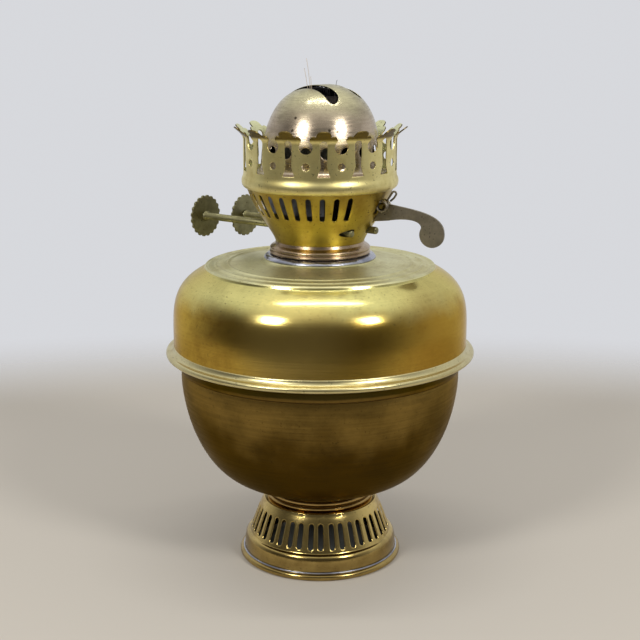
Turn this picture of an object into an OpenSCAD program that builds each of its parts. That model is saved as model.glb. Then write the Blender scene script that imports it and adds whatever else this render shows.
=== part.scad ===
/* [Foot] */
// Radius of the foot at its rolled rim
foot_r = 37.2; // [32:0.1:44]
// Radius of the wire-edged rim bead
foot_bead = 1.5; // [1.1:0.1:1.9]
// Height at which the pierced cone starts, above the ogee
foot_cone_z = 11.4; // [10:0.1:14]
// Radius at the bottom of the pierced cone
foot_cone_r = 32.3; // [30:0.1:34]
// Height of the foot's flat top
foot_h = 27.3; // [26:0.1:32]
// Radius at the top edge of the foot
foot_top_r = 26.1; // [24.8:0.1:28]
// Sheet thickness of the spun foot
foot_wall = 0.8; // [0.6:0.1:1.2]
// Number of pairs of slots round the foot
foot_pairs = 20; // [12:1:22]
// Width of one slot in the foot
foot_slot_w = 2.3; // [1.6:0.1:2.5]
// Length of one slot in the foot
foot_slot_len = 10.8; // [7:0.1:11.5]
// Angle between the two slots of a pair
foot_pair_step = 8.4; // [7.5:0.1:8.8]

/* [Neck] */
// Outer radius of the neck mouldings
neck_r = 24.4; // [23:0.1:25.5]
// Height of the turned neck moulding
neck_h = 5.2; // [4:0.1:7]
// Height of the pierced band above the moulding
band_h = 3.9; // [2.4:0.1:4.4]
// Outer radius of the pierced band
band_r = 24.6; // [24.1:0.1:25.2]
// Number of holes round the pierced band
band_holes = 42; // [24:1:48]
// Width of one hole in the pierced band
band_hole_w = 1.8; // [1:0.1:2]
// Radius of the stud that holds foot and font together
stud_r = 3.0; // [2:0.1:4]

/* [Font] */
// Radius of the upper half of the font
font_r = 65.6; // [64.5:0.1:67]
// Step in from the upper half's wall to the rim of the lower bowl
bowl_inset = 3.3; // [2.6:0.1:5]
// Height of the middle of the seam
seam_z = 96.4; // [90:0.1:104]
// Reach of the seam bead beyond the upper half's wall
seam_reach = 3.6; // [3:0.1:6]
// Rise of the ringed shoulder from its rim to the mouth
shoulder_rise = 4.2; // [2:0.1:6]
// Radius of the rim round the shoulder's rings
step_r = 50.4; // [46:0.1:52]
// Number of raised rings on the shoulder, with the rim
steps = 3; // [2:1:4]
// Spacing of the shoulder's rings
ring_pitch = 4.6; // [3.6:0.1:6]
// Height of the font's mouth, where the collar is soldered in
mouth_z = 140.2; // [139:0.1:142]
// Sheet thickness of the font
font_wall = 0.9; // [0.6:0.1:1.4]

/* [Collar] */
// Bore radius of the collar
collar_bore = 19.4; // [19.1:0.1:20.4]
// Wall of the collar
collar_wall = 1.2; // [1:0.1:1.3]
// Height of the collar above the font's mouth
collar_rise = 4.6; // [4.2:0.1:4.9]
// Length of the collar below the font's mouth
collar_drop = 5.5; // [4:0.1:8]
// Angle that the burner turns in its bayonet slots
bayonet_turn = 24; // [15:1:40]
// Radius of one bayonet pin
bayonet_pin = 0.9; // [0.6:0.1:1.1]

/* [Burner body] */
// Height of the burner body's bottom edge above the font's mouth
body_rise = 6.6; // [6:0.1:7.6]
// Radius of the burner body at its bottom edge
body_foot_r = 19.6; // [19.3:0.1:20]
// Height of the burner body
body_h = 23.5; // [22.5:0.1:24.5]
// Radius of the burner body at its top rim
body_top_r = 32.2; // [31:0.1:33]
// Sheet thickness of the burner body
body_wall = 0.7; // [0.5:0.1:0.9]
// Outer radius of the ring under the burner body
ring_r = 22.4; // [22.2:0.1:23.4]
// Width of one air slot in the burner body
air_slot_w = 2.2; // [1.4:0.1:2.6]
// Length of one air slot in the burner body
air_slot_len = 10.2; // [7:0.1:10.6]
// Height of the middle of the air slots above the body's bottom edge
air_slot_rise = 17.0; // [16.4:0.1:17.4]
// Angle from one air slot to the next
air_slot_step = 11.2; // [9:0.1:11.8]
// Number of air slots, in a row that leaves the lever's side plain
air_slots = 25; // [15:1:25]
// Radius of the draught cup
cup_r = 24; // [21.5:0.1:25]

/* [Winders] */
// Height of the winder spindles above the body's bottom edge
spindle_rise = 5.7; // [5.3:0.1:6.4]
// Distance of each spindle from the lamp's axis
spindle_off = 6.7; // [6.2:0.1:7.2]
// Radius of a spindle
spindle_r = 1.6; // [1.2:0.1:1.8]
// Running clearance round a spindle
spindle_clear = 0.06; // [0.02:0.01:0.1]
// Reach of the front thumb wheel from the lamp's axis
front_reach = 62.0; // [55:0.5:70]
// Reach of the rear thumb wheel from the lamp's axis
rear_reach = 49.0; // [40:0.5:54]
// Free end of the front spindle beyond the axis
front_end = 22.8; // [22.4:0.1:26]
// Free end of the rear spindle beyond the axis
rear_end = 26.1; // [24:0.1:30]
// Radius of a thumb wheel
wheel_r = 9.7; // [8:0.1:12]
// Thickness of a thumb wheel
wheel_t = 0.9; // [0.6:0.1:1.6]
// Number of scallops round a thumb wheel
scallops = 20; // [12:1:28]
// Tip radius of the spur wheels that carry the wick
spur_r = 3.4; // [3:0.1:3.8]
// Teeth on a spur wheel
spur_teeth = 10; // [8:1:14]
// Spur wheels on one spindle
spurs = 4; // [3:1:5]

/* [Wicks] */
// Width of a wick
wick_w = 23.6; // [18:0.1:23.9]
// Thickness of a wick
wick_t = 2.0; // [1.6:0.1:2.2]
// Clearance between wick and tube on each side
wick_clear = 0.2; // [0.1:0.05:0.3]
// Sheet thickness of a wick tube
tube_wall = 0.4; // [0.3:0.05:0.5]
// Gap between the spur tips and the wick
spur_gap = 0.15; // [0.05:0.05:0.3]
// Distance of a wick's middle from the lamp's axis at the tube's top
tube_top_off = 7.2; // [6.9:0.1:7.5]
// Height of the wick tubes
tube_h = 58.7; // [57.5:0.1:59]
// How far the wick stands above its tube
wick_stand = 1.3; // [0.5:0.1:1.4]
// Height of the bottom end of the wicks inside the font
wick_end_z = 62; // [48:1:100]

/* [Extinguisher] */
// Bearing of the lever, from the free ends of the spindles
lever_bearing = 15; // [5:1:20]
// Distance of the lever's pivot outside the burner body's wall
pivot_out = 1.05; // [0.9:0.05:1.6]
// Height of the lever's pivot above the body's bottom edge
pivot_rise = 17.0; // [16.4:0.1:17.6]
// Radius of the lever's pivot pin
pivot_pin_r = 0.8; // [0.5:0.1:1]
// Thickness of the lever plate
lever_t = 1.3; // [0.9:0.1:1.6]
// Distance of the lever's thumb lobe outside the pivot
lobe_out = 21.3; // [18:0.1:27]
// Radius of the lever's thumb lobe
lobe_r = 5.5; // [4.5:0.1:6.5]
// Depth of the middle of the thumb lobe below the pivot
lobe_fall = 11.7; // [10:0.1:14]
// Rise of the snuffer as the lever is pressed
snuffer_rise = 5.0; // [4.6:0.1:5.2]
// Clearance between snuffer sleeve and wick tube
sleeve_clear = 0.6; // [0.5:0.05:0.7]
// Sheet thickness of the snuffer
sleeve_wall = 0.4; // [0.3:0.05:0.5]
// Depth of the flaps' hinge pins below the tops of the tubes
flap_hinge_fall = 1.7; // [1.5:0.1:2.2]
// Distance of the flaps' hinge pins from the lamp's axis
flap_hinge_off = 4.0; // [3.6:0.1:4.1]
// Length of a flap from its hinge pin
flap_len = 5.5; // [5:0.1:5.7]
// Wire radius of the lever's spring
spring_wire = 0.45; // [0.3:0.05:0.5]

/* [Gallery] */
// Step out from the burner body's rim to the gallery wall
gallery_out = 1.3; // [1.2:0.1:2.4]
// Reach of the gallery's bead beyond its wall
bead_out = 1.0; // [0.9:0.1:1.6]
// Height at which the gallery wall starts to flare, above the burner body's rim
gallery_h = 21.1; // [20.2:0.1:21.8]
// Reach of the crown's tips beyond the gallery wall
crown_out = 4.4; // [2.8:0.1:5.4]
// Height of the crown's tips above the start of the flare
crown_h = 5.6; // [5:0.1:7.4]
// Sheet thickness of the gallery
gallery_wall = 0.7; // [0.5:0.1:0.9]
// Number of tips round the crown
tips = 14; // [10:1:14]
// Radius of the large holes between the tips
big_hole_r = 2.95; // [2.4:0.05:3.1]
// Radius of the small holes below them
small_hole_r = 1.65; // [1.2:0.05:1.9]
// Width of the keyhole slots' narrow part
stem_w = 3.2; // [2:0.1:3.6]
// Width of the keyhole slots' foot
stem_foot_w = 5.4; // [4.2:0.1:6]
// Height of the plate that the chimney stands on, above the burner body's rim
seat_rise = 6.1; // [5.6:0.1:6.6]

/* [Dome] */
// Width of the ring-shaped space that the chimney's foot stands in, round the dome
chimney_gap = 6.8; // [5.8:0.1:7.8]
// Height of the dome from the foot of its skirt
dome_h = 39.5; // [39:0.1:43]
// Sheet thickness of the dome
dome_wall = 0.6; // [0.4:0.1:0.7]
// Width of a flame slot
flame_w = 5.6; // [5.5:0.1:6.2]
// Length of a flame slot
flame_len = 32.4; // [31.5:0.1:34]
// Number of air holes round the dome's skirt
dome_holes = 18; // [12:1:20]
// Radius of one air hole in the dome's skirt
dome_hole_r = 2.4; // [1.5:0.1:2.8]

/* [Hidden] */
$fn = 64;
front = -1;
rear = 1;

// Heights and radii that follow from the sizes above
seam_r = font_r + seam_reach;
bowl_r = font_r - bowl_inset;
step_z = mouth_z - shoulder_rise;
body_z = mouth_z + body_rise;
body_top_z = body_z + body_h;
air_slot_z = body_z + air_slot_rise;
spindle_z = body_z + spindle_rise;
tube_top_z = body_z + tube_h;
pivot_z = body_z + pivot_rise;
lobe_z = pivot_z - lobe_fall;
flap_hinge_z = tube_top_z - flap_hinge_fall;
gallery_r = body_top_r + gallery_out;
gallery_bead_r = gallery_r + bead_out;
flare_z = body_top_z + gallery_h;
crown_r = gallery_r + crown_out;
crown_z = flare_z + crown_h;
gallery_bore = gallery_r - gallery_wall;
dome_r = gallery_bore - chimney_gap;
seat_z = body_top_z + seat_rise;
dome_foot_z = seat_z - 1.5;
dome_z = dome_foot_z + dome_h;

// Points along a smooth curve with its two end points and two handles
function curve(a, b, c, d, n) =
    [for (i = [0:n]) let (t = i / n, u = 1 - t) u*u*u*a + 3*u*u*t*b + 3*u*t*t*c + t*t*t*d];
// Points along a circular arc
function arc(c, r, a0, a1, n) = [for (i = [0:n]) let (a = a0 + (a1 - a0) * i / n) c + r * [cos(a), sin(a)]];
// The same path shifted to its left by t, which is towards the axis for a path that runs upwards
function shifted(path, t) = let (n = len(path) - 1)
    [for (i = [0:n])
        let (d = path[min(i + 1, n)] - path[max(i - 1, 0)], p = path[i] + t * [-d[1], d[0]] / norm(d))
        [max(0, p[0]), p[1]]];
function reversed(path) = [for (i = [len(path) - 1:-1:0]) path[i]];

// A sheet-metal shell turned round the lamp's axis from its outer outline
module spun_shell(outer, wall) {
    rotate_extrude() polygon(concat(outer, reversed(shifted(outer, wall))));
}

// A plain ring
module ring(r_in, r_out, z0, z1) {
    rotate_extrude() translate([r_in, z0]) square([r_out - r_in, z1 - z0]);
}

// A slot with round ends, centred, long way up the drawing
module round_slot(w, len) {
    square([w, len - w], center = true);
    for (s = [-1, 1]) translate([0, s * (len - w) / 2]) circle(d = w);
}

// Carries a flat drawing out from the axis to cut a wall at one bearing: X goes sideways, Y goes up
module radial_cut(bearing, z, from, to) {
    rotate([0, 0, bearing]) translate([from, 0, z]) rotate([90, 0, 90])
        linear_extrude(to - from) children();
}

// Foot: a rolled bead, a ledge, an ogee, a step, the pierced cone and a flat top
foot_edge_r = 0.5;
foot_cone_top_z = foot_h - foot_edge_r;
ledge_z = 2 * foot_bead + 0.2;
ledge_r = foot_r - 2.2;
stud_hole_r = stud_r + 0.2;
foot_outer = concat(
    [[foot_r - foot_bead, 0]],
    arc([foot_r - foot_bead, foot_bead], foot_bead, -90, 80, 8),
    curve([ledge_r, ledge_z], [ledge_r, foot_cone_z - 2.6], [ledge_r - 0.7, foot_cone_z - 0.9],
          [foot_cone_r + 0.7, foot_cone_z - 0.5], 8),
    [[foot_cone_r, foot_cone_z - 0.4], [foot_cone_r, foot_cone_z],
     [foot_top_r, foot_cone_top_z]],
    arc([foot_top_r - foot_edge_r, foot_cone_top_z], foot_edge_r, 10, 90, 4));
foot_inner = [[stud_hole_r, foot_h], [stud_hole_r, foot_h - foot_wall],
    [foot_top_r - foot_wall - 0.5, foot_h - foot_wall], [foot_top_r - foot_wall, foot_cone_top_z - 0.8],
    [foot_cone_r - foot_wall, foot_cone_z], [foot_cone_r - foot_wall, foot_cone_z - 1],
    [ledge_r - foot_wall, foot_cone_z - 2.6], [ledge_r - foot_wall, ledge_z], [ledge_r - foot_wall, 0]];
foot_slot_z = (foot_cone_z + foot_h) / 2 - 1.4;
first_pair_bearing = -56;
module foot_shell() {
    color("goldenrod") difference() {
        rotate_extrude() polygon(concat(foot_outer, foot_inner));
        for (i = [0:foot_pairs - 1], s = [-1, 1])
            radial_cut(first_pair_bearing + i * 360 / foot_pairs + s * foot_pair_step / 2, foot_slot_z,
                       foot_top_r - 4, foot_r + 1)
                round_slot(foot_slot_w, foot_slot_len);
    }
}

// Stud soldered under the bowl, and the nut and washer that draw the foot up to it
bowl_foot_z = foot_h + neck_h + band_h;
nut_h = 3.2;
washer_t = 0.8;
stud_tail = 1.2;
stud_head_h = 1.2;
nut_top_z = foot_h - foot_wall - washer_t;
module foot_stud() {
    color("darkgoldenrod") {
        translate([0, 0, bowl_foot_z - stud_head_h]) cylinder(r = stud_r + 3, h = stud_head_h);
        translate([0, 0, nut_top_z - nut_h - stud_tail])
            cylinder(r = stud_r, h = bowl_foot_z - nut_top_z + nut_h + stud_tail - stud_head_h / 2);
    }
}
module foot_nut() {
    color("darkgoldenrod") difference() {
        union() {
            translate([0, 0, nut_top_z - nut_h]) cylinder(r = stud_r * 2.1, h = nut_h, $fn = 6);
            translate([0, 0, nut_top_z]) cylinder(r = stud_r + 5, h = washer_t);
        }
        translate([0, 0, nut_top_z - nut_h - 1]) cylinder(r = stud_r + 0.03, h = nut_h + washer_t + 2);
    }
}

// Neck: two turned beads, and above them the pierced band that the bowl stands on
neck_bore = 20.5;
module neck_moulding() {
    bead = neck_h / 4 - 0.05;
    color("peru") rotate_extrude() polygon(concat(
        [[neck_bore, foot_h], [neck_r - 1.2, foot_h]],
        arc([neck_r - bead, foot_h + bead + 0.1], bead, -80, 80, 6),
        [[neck_r - 1.3, foot_h + neck_h / 2]],
        arc([neck_r - bead, foot_h + neck_h - bead - 0.1], bead, -80, 80, 6),
        [[neck_r - 0.3, foot_h + neck_h], [neck_bore, foot_h + neck_h]]));
}
module neck_band() {
    z = foot_h + neck_h;
    color("darkgoldenrod") difference() {
        ring(neck_r - 0.8, band_r, z, z + band_h);
        for (i = [0:band_holes - 1])
            radial_cut(i * 360 / band_holes, z + band_h / 2, band_r - 2, band_r + 1)
                square([band_hole_w, band_h - 0.9], center = true);
    }
}

// Font: lower bowl, upper half with its ringed shoulder, and the rolled seam between them
bowl_top_z = seam_z - 6.4;
bowl_outer = concat([[0, bowl_foot_z], [band_r + 0.6, bowl_foot_z]],
    curve([band_r + 3.8, bowl_foot_z + 0.2], [bowl_r - 6.2, bowl_foot_z + 0.1],
          [bowl_r + 1.6, bowl_top_z - 12.1], [bowl_r, bowl_top_z], 22));
module bowl_lower() {
    color("saddlebrown") spun_shell(concat(bowl_outer, [[bowl_r, bowl_top_z + 4]]), font_wall);
}
mouth_r = collar_bore + collar_wall;
shelf_in = mouth_r + 4.9;
function shelf_z(r) = step_z + (mouth_z - 1.6 - step_z) * (step_r - r) / (step_r - shelf_in);
shoulder_outer = concat(
    [[font_r, seam_z + 0.4]],
    curve([font_r, seam_z + 5], [font_r, step_z - 18.3], [font_r + 1.4, step_z - 8.7],
          [step_r + 1.2, step_z - 1.5], 18),
    [[step_r + 0.5, step_z - 0.3], [step_r - 0.2, step_z + 0.1], [step_r - 1.2, step_z - 0.15]],
    [for (i = [1:steps - 1]) each let (r = step_r - i * ring_pitch, z = shelf_z(r))
        [[r + 1.0, z - 0.1], [r + 0.3, z + 0.2], [r - 0.3, z + 0.2], [r - 1.0, z - 0.05]]],
    [[shelf_in, shelf_z(shelf_in)], [mouth_r + 3.7, mouth_z - 0.5], [mouth_r + 2.7, mouth_z], [mouth_r, mouth_z]]);
module font_shoulder() {
    color("goldenrod") spun_shell(shoulder_outer, font_wall);
}
module seam_ring() {
    bead = 1.3;
    bead_z = seam_z + 0.8;
    color("goldenrod") rotate_extrude() polygon(concat(
        [[bowl_r, seam_z + 0.4], [bowl_r, bowl_top_z + 0.2]],
        curve([bowl_r + 0.6, bowl_top_z + 0.2], [bowl_r + 1.2, seam_z - 5.0], [seam_r - 3.4, bead_z - 2.6],
              [seam_r - 2.1, bead_z - 1.6], 6),
        arc([seam_r - bead, bead_z], bead, -80, 90, 9),
        curve([seam_r - bead - 0.7, bead_z + 1.35], [font_r + 0.8, bead_z + 1.5], [font_r + 0.3, bead_z + 2.2],
              [font_r, bead_z + 3.6], 5),
        [[font_r, seam_z + 0.4]]));
}

// Collar: a brass tube soldered in the font's mouth, with bayonet slots for the burner's pins
collar_top = mouth_z + collar_rise;
bayonet_z = mouth_z - 0.6;
bayonet_count = 3;
bayonet_h = 2 * bayonet_pin + 0.4;
module sector(r, a0, a1) {
    polygon(concat([[0, 0]], [for (i = [0:6]) let (a = a0 + (a1 - a0) * i / 6) r * [cos(a), sin(a)]]));
}
module font_collar() {
    pin_angle = asin((bayonet_pin + 0.2) / collar_bore);
    color("darkgoldenrod") difference() {
        ring(collar_bore, mouth_r, mouth_z - collar_drop, collar_top);
        for (i = [0:bayonet_count - 1]) rotate([0, 0, i * 360 / bayonet_count]) {
            translate([0, 0, bayonet_z - bayonet_h / 2]) linear_extrude(bayonet_h)
                sector(mouth_r + 2, -pin_angle, bayonet_turn + pin_angle);
            translate([0, 0, bayonet_z - bayonet_h / 2]) linear_extrude(collar_rise + 5)
                sector(mouth_r + 2, bayonet_turn - pin_angle, bayonet_turn + pin_angle);
        }
    }
}
module solder_ring() {
    color("lightslategray") rotate_extrude() polygon(concat(
        [[mouth_r, mouth_z]],
        curve([ring_r + 0.6, mouth_z], [ring_r + 0.3, mouth_z + 0.7], [ring_r - 0.6, mouth_z + 0.9],
              [mouth_r, mouth_z + 0.9], 4)));
}

// Ring under the burner body: a skirt over the collar and a sleeve with three bayonet pins inside it
sleeve_r = collar_bore - 0.2;
sleeve_bore = sleeve_r - 0.7;
skirt_z = mouth_z + 1.2;
module burner_base_ring() {
    color("sienna") union() {
        rotate_extrude() polygon(concat(
            [[sleeve_bore, bayonet_z - 1.6], [sleeve_r, bayonet_z - 1.6], [sleeve_r, collar_top + 0.2],
             [mouth_r + 0.5, collar_top + 0.2], [mouth_r + 0.5, skirt_z], [ring_r - 0.4, skirt_z],
             [ring_r - 0.1, skirt_z + 0.9], [ring_r - 0.6, skirt_z + 1.4]],
            curve([ring_r - 0.1, skirt_z + 2.0], [ring_r + 0.1, skirt_z + 3.0],
                  [ring_r - 1.2, skirt_z + 3.6], [body_foot_r + 0.4, body_z - 1.2], 6),
            [[body_foot_r, body_z], [sleeve_bore, body_z]]));
        for (i = [0:bayonet_count - 1]) rotate([0, 0, i * 360 / bayonet_count])
            translate([sleeve_r - 0.4, 0, bayonet_z]) rotate([0, 90, 0])
                cylinder(r = bayonet_pin, h = collar_wall + 0.5);
    }
}

// Burner body: a spun basket with a row of air slots, holes for the spindles and a window for the lever
body_flare = 4.6;
body_flare_z = 11.2;
body_outer = curve([body_foot_r, body_z], [body_foot_r + 1.1, body_z + 4.2],
                   [body_top_r - body_flare, body_z + body_flare_z], [body_top_r, body_top_z], 14);
air_slot_middle = -162.5;
lever_slot_w = lever_t + 0.8;
lever_slot_h = 12.4;
spring_t0 = lever_t / 2 + 1.4;
spring_coils = 3;
spring_pitch = 2 * spring_wire + 0.1;
spring_len = spring_coils * spring_pitch;
spring_r = 2.1;
module spindle_hole(side) {
    translate([0, side * spindle_off, spindle_z]) rotate([0, 90, 0])
        cylinder(r = spindle_r + spindle_clear, h = 4 * body_top_r, center = true);
}
module burner_body() {
    color("goldenrod") difference() {
        spun_shell(body_outer, body_wall);
        for (i = [0:air_slots - 1])
            radial_cut(air_slot_middle + (i - (air_slots - 1) / 2) * air_slot_step, air_slot_z,
                       body_foot_r, body_top_r + 2)
                round_slot(air_slot_w, air_slot_len);
        for (side = [front, rear]) spindle_hole(side);
        radial_cut(lever_bearing, pivot_z - 3.8, body_foot_r, body_top_r + 2)
            square([lever_slot_w, lever_slot_h], center = true);
        radial_cut(lever_bearing, pivot_z, body_foot_r + 4, body_top_r + 2)
            translate([-spring_t0 - spring_len - 0.3, -spring_r - 1.2])
                square([spring_len + 0.6, 2 * spring_r + 2]);
        // the rim is trimmed flat, so that the gallery's ring lies on it
        translate([0, 0, body_top_z]) cylinder(r = body_top_r + 2, h = 2);
    }
}

// The wick tubes lean towards each other, so that the spur wheels can stand between them lower down
tube_half = wick_t / 2 + wick_clear + tube_wall;
tube_half_w = wick_w / 2 + wick_clear + tube_wall;
spur_wick_off = spindle_off + spur_r + spur_gap + wick_t / 2;
lean = atan((spur_wick_off - tube_top_off) / (tube_top_z - spindle_z));
tube_foot_z = body_z;
module leaning(side) {
    translate([0, side * tube_top_off, tube_top_z]) rotate([side * lean, 0, 0]) children();
}
// A block in a wick tube's own frame, between two distances below the tube's top
module tube_block(half_w, half_t, drop0, drop1) {
    translate([-half_w, -half_t, -drop1]) cube([2 * half_w, 2 * half_t, drop1 - drop0]);
}
tube_len = (tube_top_z - tube_foot_z) / cos(lean);
spur_drop = (tube_top_z - spindle_z) / cos(lean);
module wick_tube(side) {
    color("darkgray") leaning(side) difference() {
        tube_block(tube_half_w, tube_half, 0, tube_len);
        tube_block(wick_w / 2 + wick_clear, wick_t / 2 + wick_clear, -1, tube_len + 1);
        // window for the spur wheels in the face towards the axis
        translate([0, -side * tube_half, -spur_drop])
            cube([2 * spur_row_half + 2, 2 * (tube_wall + wick_clear) + 0.02, 2 * spur_r + 1],
                 center = true);
    }
}
module wick_tube_front() wick_tube(front);
module wick_tube_rear() wick_tube(rear);

// Base plate that closes the burner body and holds the tubes' lower ends
plate_t = 0.8;
plate_z = body_z;
plate_r = body_foot_r - body_wall;
module base_plate() {
    color("darkgray") difference() {
        translate([0, 0, plate_z]) cylinder(r = plate_r, h = plate_t);
        for (side = [front, rear]) leaning(side)
            tube_block(tube_half_w + 0.02, tube_half + 0.02, tube_len - 6, tube_len + 4);
        translate([0, 0, plate_z - 1]) cylinder(r = 2, h = plate_t + 2);
    }
}

// Draught cup: a tinned cup round the tubes, open towards the lever, with holes in its top
cup_z0 = air_slot_z - 3.2;
cup_top = body_top_z + 3.0;
cup_wall = 0.5;
cup_gap = [-48, 34];
cup_holes = 20;
cup_hole_r = 1.2;
module draught_cup() {
    color("lightslategray") difference() {
        union() {
            ring(cup_r - cup_wall, cup_r, cup_z0, cup_top);
            translate([0, 0, cup_top - cup_wall]) cylinder(r = cup_r, h = cup_wall);
        }
        for (side = [front, rear]) leaning(side)
            tube_block(tube_half_w + 0.02, tube_half + 0.02, 20, tube_len);
        translate([0, 0, cup_top - 2]) cylinder(r = yoke_window_r, h = 4);
        translate([0, 0, cup_z0 - 1]) linear_extrude(cup_top - cup_wall - cup_z0 - 0.4)
            sector(cup_r + 2, cup_gap[0], cup_gap[1]);
        for (i = [0:cup_holes - 1]) rotate([0, 0, (i + 0.5) * 360 / cup_holes])
            translate([cup_r - 3.4, 0, cup_top - 2]) cylinder(r = cup_hole_r, h = 4);
    }
}

// Winders: spindle, scalloped thumb wheel and a row of spur wheels
spur_row_half = wick_w / 2 - 3;
spur_t = 0.8;
spindle_tail = 0.5;
scallop_r = 1.1;
function wheel_x(side) = side == front ? -front_reach : -rear_reach;
function spindle_end(side) = side == front ? front_end : rear_end;
module on_spindle(side, x) {
    translate([x, side * spindle_off, spindle_z]) rotate([0, 90, 0]) children();
}
module spindle(side) {
    color("darkkhaki") on_spindle(side, wheel_x(side) - wheel_t - spindle_tail)
        cylinder(r = spindle_r, h = spindle_end(side) - wheel_x(side) + wheel_t + spindle_tail);
}
module thumb_wheel(side) {
    color("darkkhaki") on_spindle(side, wheel_x(side) - wheel_t) difference() {
        cylinder(r = wheel_r, h = wheel_t);
        translate([0, 0, -1]) cylinder(r = spindle_r + 0.01, h = wheel_t + 2);
        for (i = [0:scallops - 1]) rotate([0, 0, i * 360 / scallops])
            translate([wheel_r + scallop_r / 2, 0, -1]) cylinder(r = scallop_r, h = wheel_t + 2, $fn = 24);
    }
}
module spur_wheels(side) {
    color("darkgoldenrod") for (i = [0:spurs - 1])
        on_spindle(side, -spur_row_half + i * (2 * spur_row_half - spur_t) / (spurs - 1)) difference() {
            linear_extrude(spur_t) for (k = [0:spur_teeth - 1]) rotate(k * 360 / spur_teeth)
                polygon([[0, -1.05], [spur_r - 0.9, -0.75], [spur_r, -0.15], [spur_r, 0.15],
                         [spur_r - 0.9, 0.75], [0, 1.05]]);
            translate([0, 0, -1]) cylinder(r = spindle_r + 0.01, h = spur_t + 2);
        }
}
module spindle_front() spindle(front);
module spindle_rear() spindle(rear);
module thumb_wheel_front() thumb_wheel(front);
module thumb_wheel_rear() thumb_wheel(rear);
module spur_wheels_front() spur_wheels(front);
module spur_wheels_rear() spur_wheels(rear);

// Wicks: flat woven strips that run from the tubes' tops down into the font
module wick(side) {
    color("lightgray") leaning(side)
        tube_block(wick_w / 2, wick_t / 2, -wick_stand, (tube_top_z - wick_end_z) / cos(lean));
}
module wick_front() wick(front);
module wick_rear() wick(rear);

// Extinguisher lever, drawn in its upright plane as distance from the axis and height
function wall_r(z) = lookup(z, [for (p = body_outer) [p[1], p[0]]]);
pivot_r = wall_r(pivot_z) + pivot_out;
lobe_reach = pivot_r + lobe_out;
arm_h = 3.0;
arm_top_z = pivot_z + 1.2;
lever_outline = concat(
    [[-1.2, arm_top_z], [-1.2, arm_top_z - arm_h], [18, arm_top_z - arm_h - 1.2],
     [pivot_r - 4.4, pivot_z - 7.2]],
    curve([pivot_r + 1.5, pivot_z - 6.6], [pivot_r + 8, pivot_z - 5.2], [lobe_reach - 6, lobe_z + 6.6],
          [lobe_reach - 4.8, lobe_z + 3.4], 8),
    arc([lobe_reach, lobe_z], lobe_r, 150, 360, 14),
    curve([lobe_reach + lobe_r, lobe_z + 0.6], [lobe_reach + lobe_r, lobe_z + 9.5],
          [pivot_r + 13, pivot_z - 1.4], [pivot_r + 2.2, arm_top_z - 0.6], 12),
    [[pivot_r + 0.8, arm_top_z + 0.6], [pivot_r - 1.2, arm_top_z + 0.4]]);
module lever_plane() {
    rotate([0, 0, lever_bearing]) rotate([90, 0, 0]) children();
}
module extinguisher_lever() {
    color("dimgray") lever_plane() translate([0, 0, -lever_t / 2]) linear_extrude(lever_t) difference() {
        polygon(lever_outline);
        translate([pivot_r, pivot_z]) circle(r = pivot_pin_r + 0.05);
    }
}

// Bracket: two ears soldered outside the burner body, one on each side of the lever
ear_t = 0.8;
ear_r = 2;
ear_gap = 0.3;
ear_foot = [for (z = [pivot_z - 3.2:0.7:pivot_z + 3.1]) [wall_r(z) + 0.05, z]];
module lever_bracket() {
    color("darkgoldenrod") for (s = [-1, 1]) lever_plane()
        translate([0, 0, s * (lever_t / 2 + ear_gap + ear_t / 2) - ear_t / 2]) linear_extrude(ear_t)
            difference() {
                union() {
                    translate([pivot_r, pivot_z]) circle(r = ear_r);
                    polygon(concat(ear_foot, [[pivot_r + ear_r - 0.1, pivot_z + 0.6],
                                              [pivot_r + ear_r - 0.8, pivot_z - 1.6]]));
                }
                polygon(concat(ear_foot, [[body_foot_r, pivot_z + 3.2], [body_foot_r, pivot_z - 3.2]]));
                translate([pivot_r, pivot_z]) circle(r = pivot_pin_r + 0.01);
            }
}
pin_t1 = spring_t0 + spring_len + 0.5;
module lever_pivot_pin() {
    color("darkgoldenrod") lever_plane()
        translate([pivot_r, pivot_z, -lever_t / 2 - ear_gap - ear_t - 0.5])
            cylinder(r = pivot_pin_r, h = pin_t1 + lever_t / 2 + ear_gap + ear_t + 0.5);
}
// Spring: three turns on the pivot pin, and a loop that bears on the lever's upper edge
loop_base = [pivot_r + 2.6, pivot_z + 2.2];
loop_len = 5.2;
loop_half = 1.1;
loop_lean = 32;
module lever_spring() {
    color("dimgray") lever_plane() {
        for (i = [0:spring_coils - 1])
            translate([pivot_r, pivot_z, spring_t0 + (i + 0.5) * spring_pitch])
                rotate_extrude() translate([spring_r, 0]) circle(r = spring_wire, $fn = 16);
        translate([loop_base[0], loop_base[1], spring_t0 - 0.6]) rotate([0, 0, -loop_lean]) {
            for (s = [-1, 1]) translate([s * loop_half, 0, 0]) rotate([-90, 0, 0])
                cylinder(r = spring_wire, h = loop_len - loop_half, $fn = 16);
            translate([0, loop_len - loop_half, 0]) rotate_extrude(angle = 180)
                translate([loop_half, 0]) circle(r = spring_wire, $fn = 16);
        }
    }
}

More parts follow.
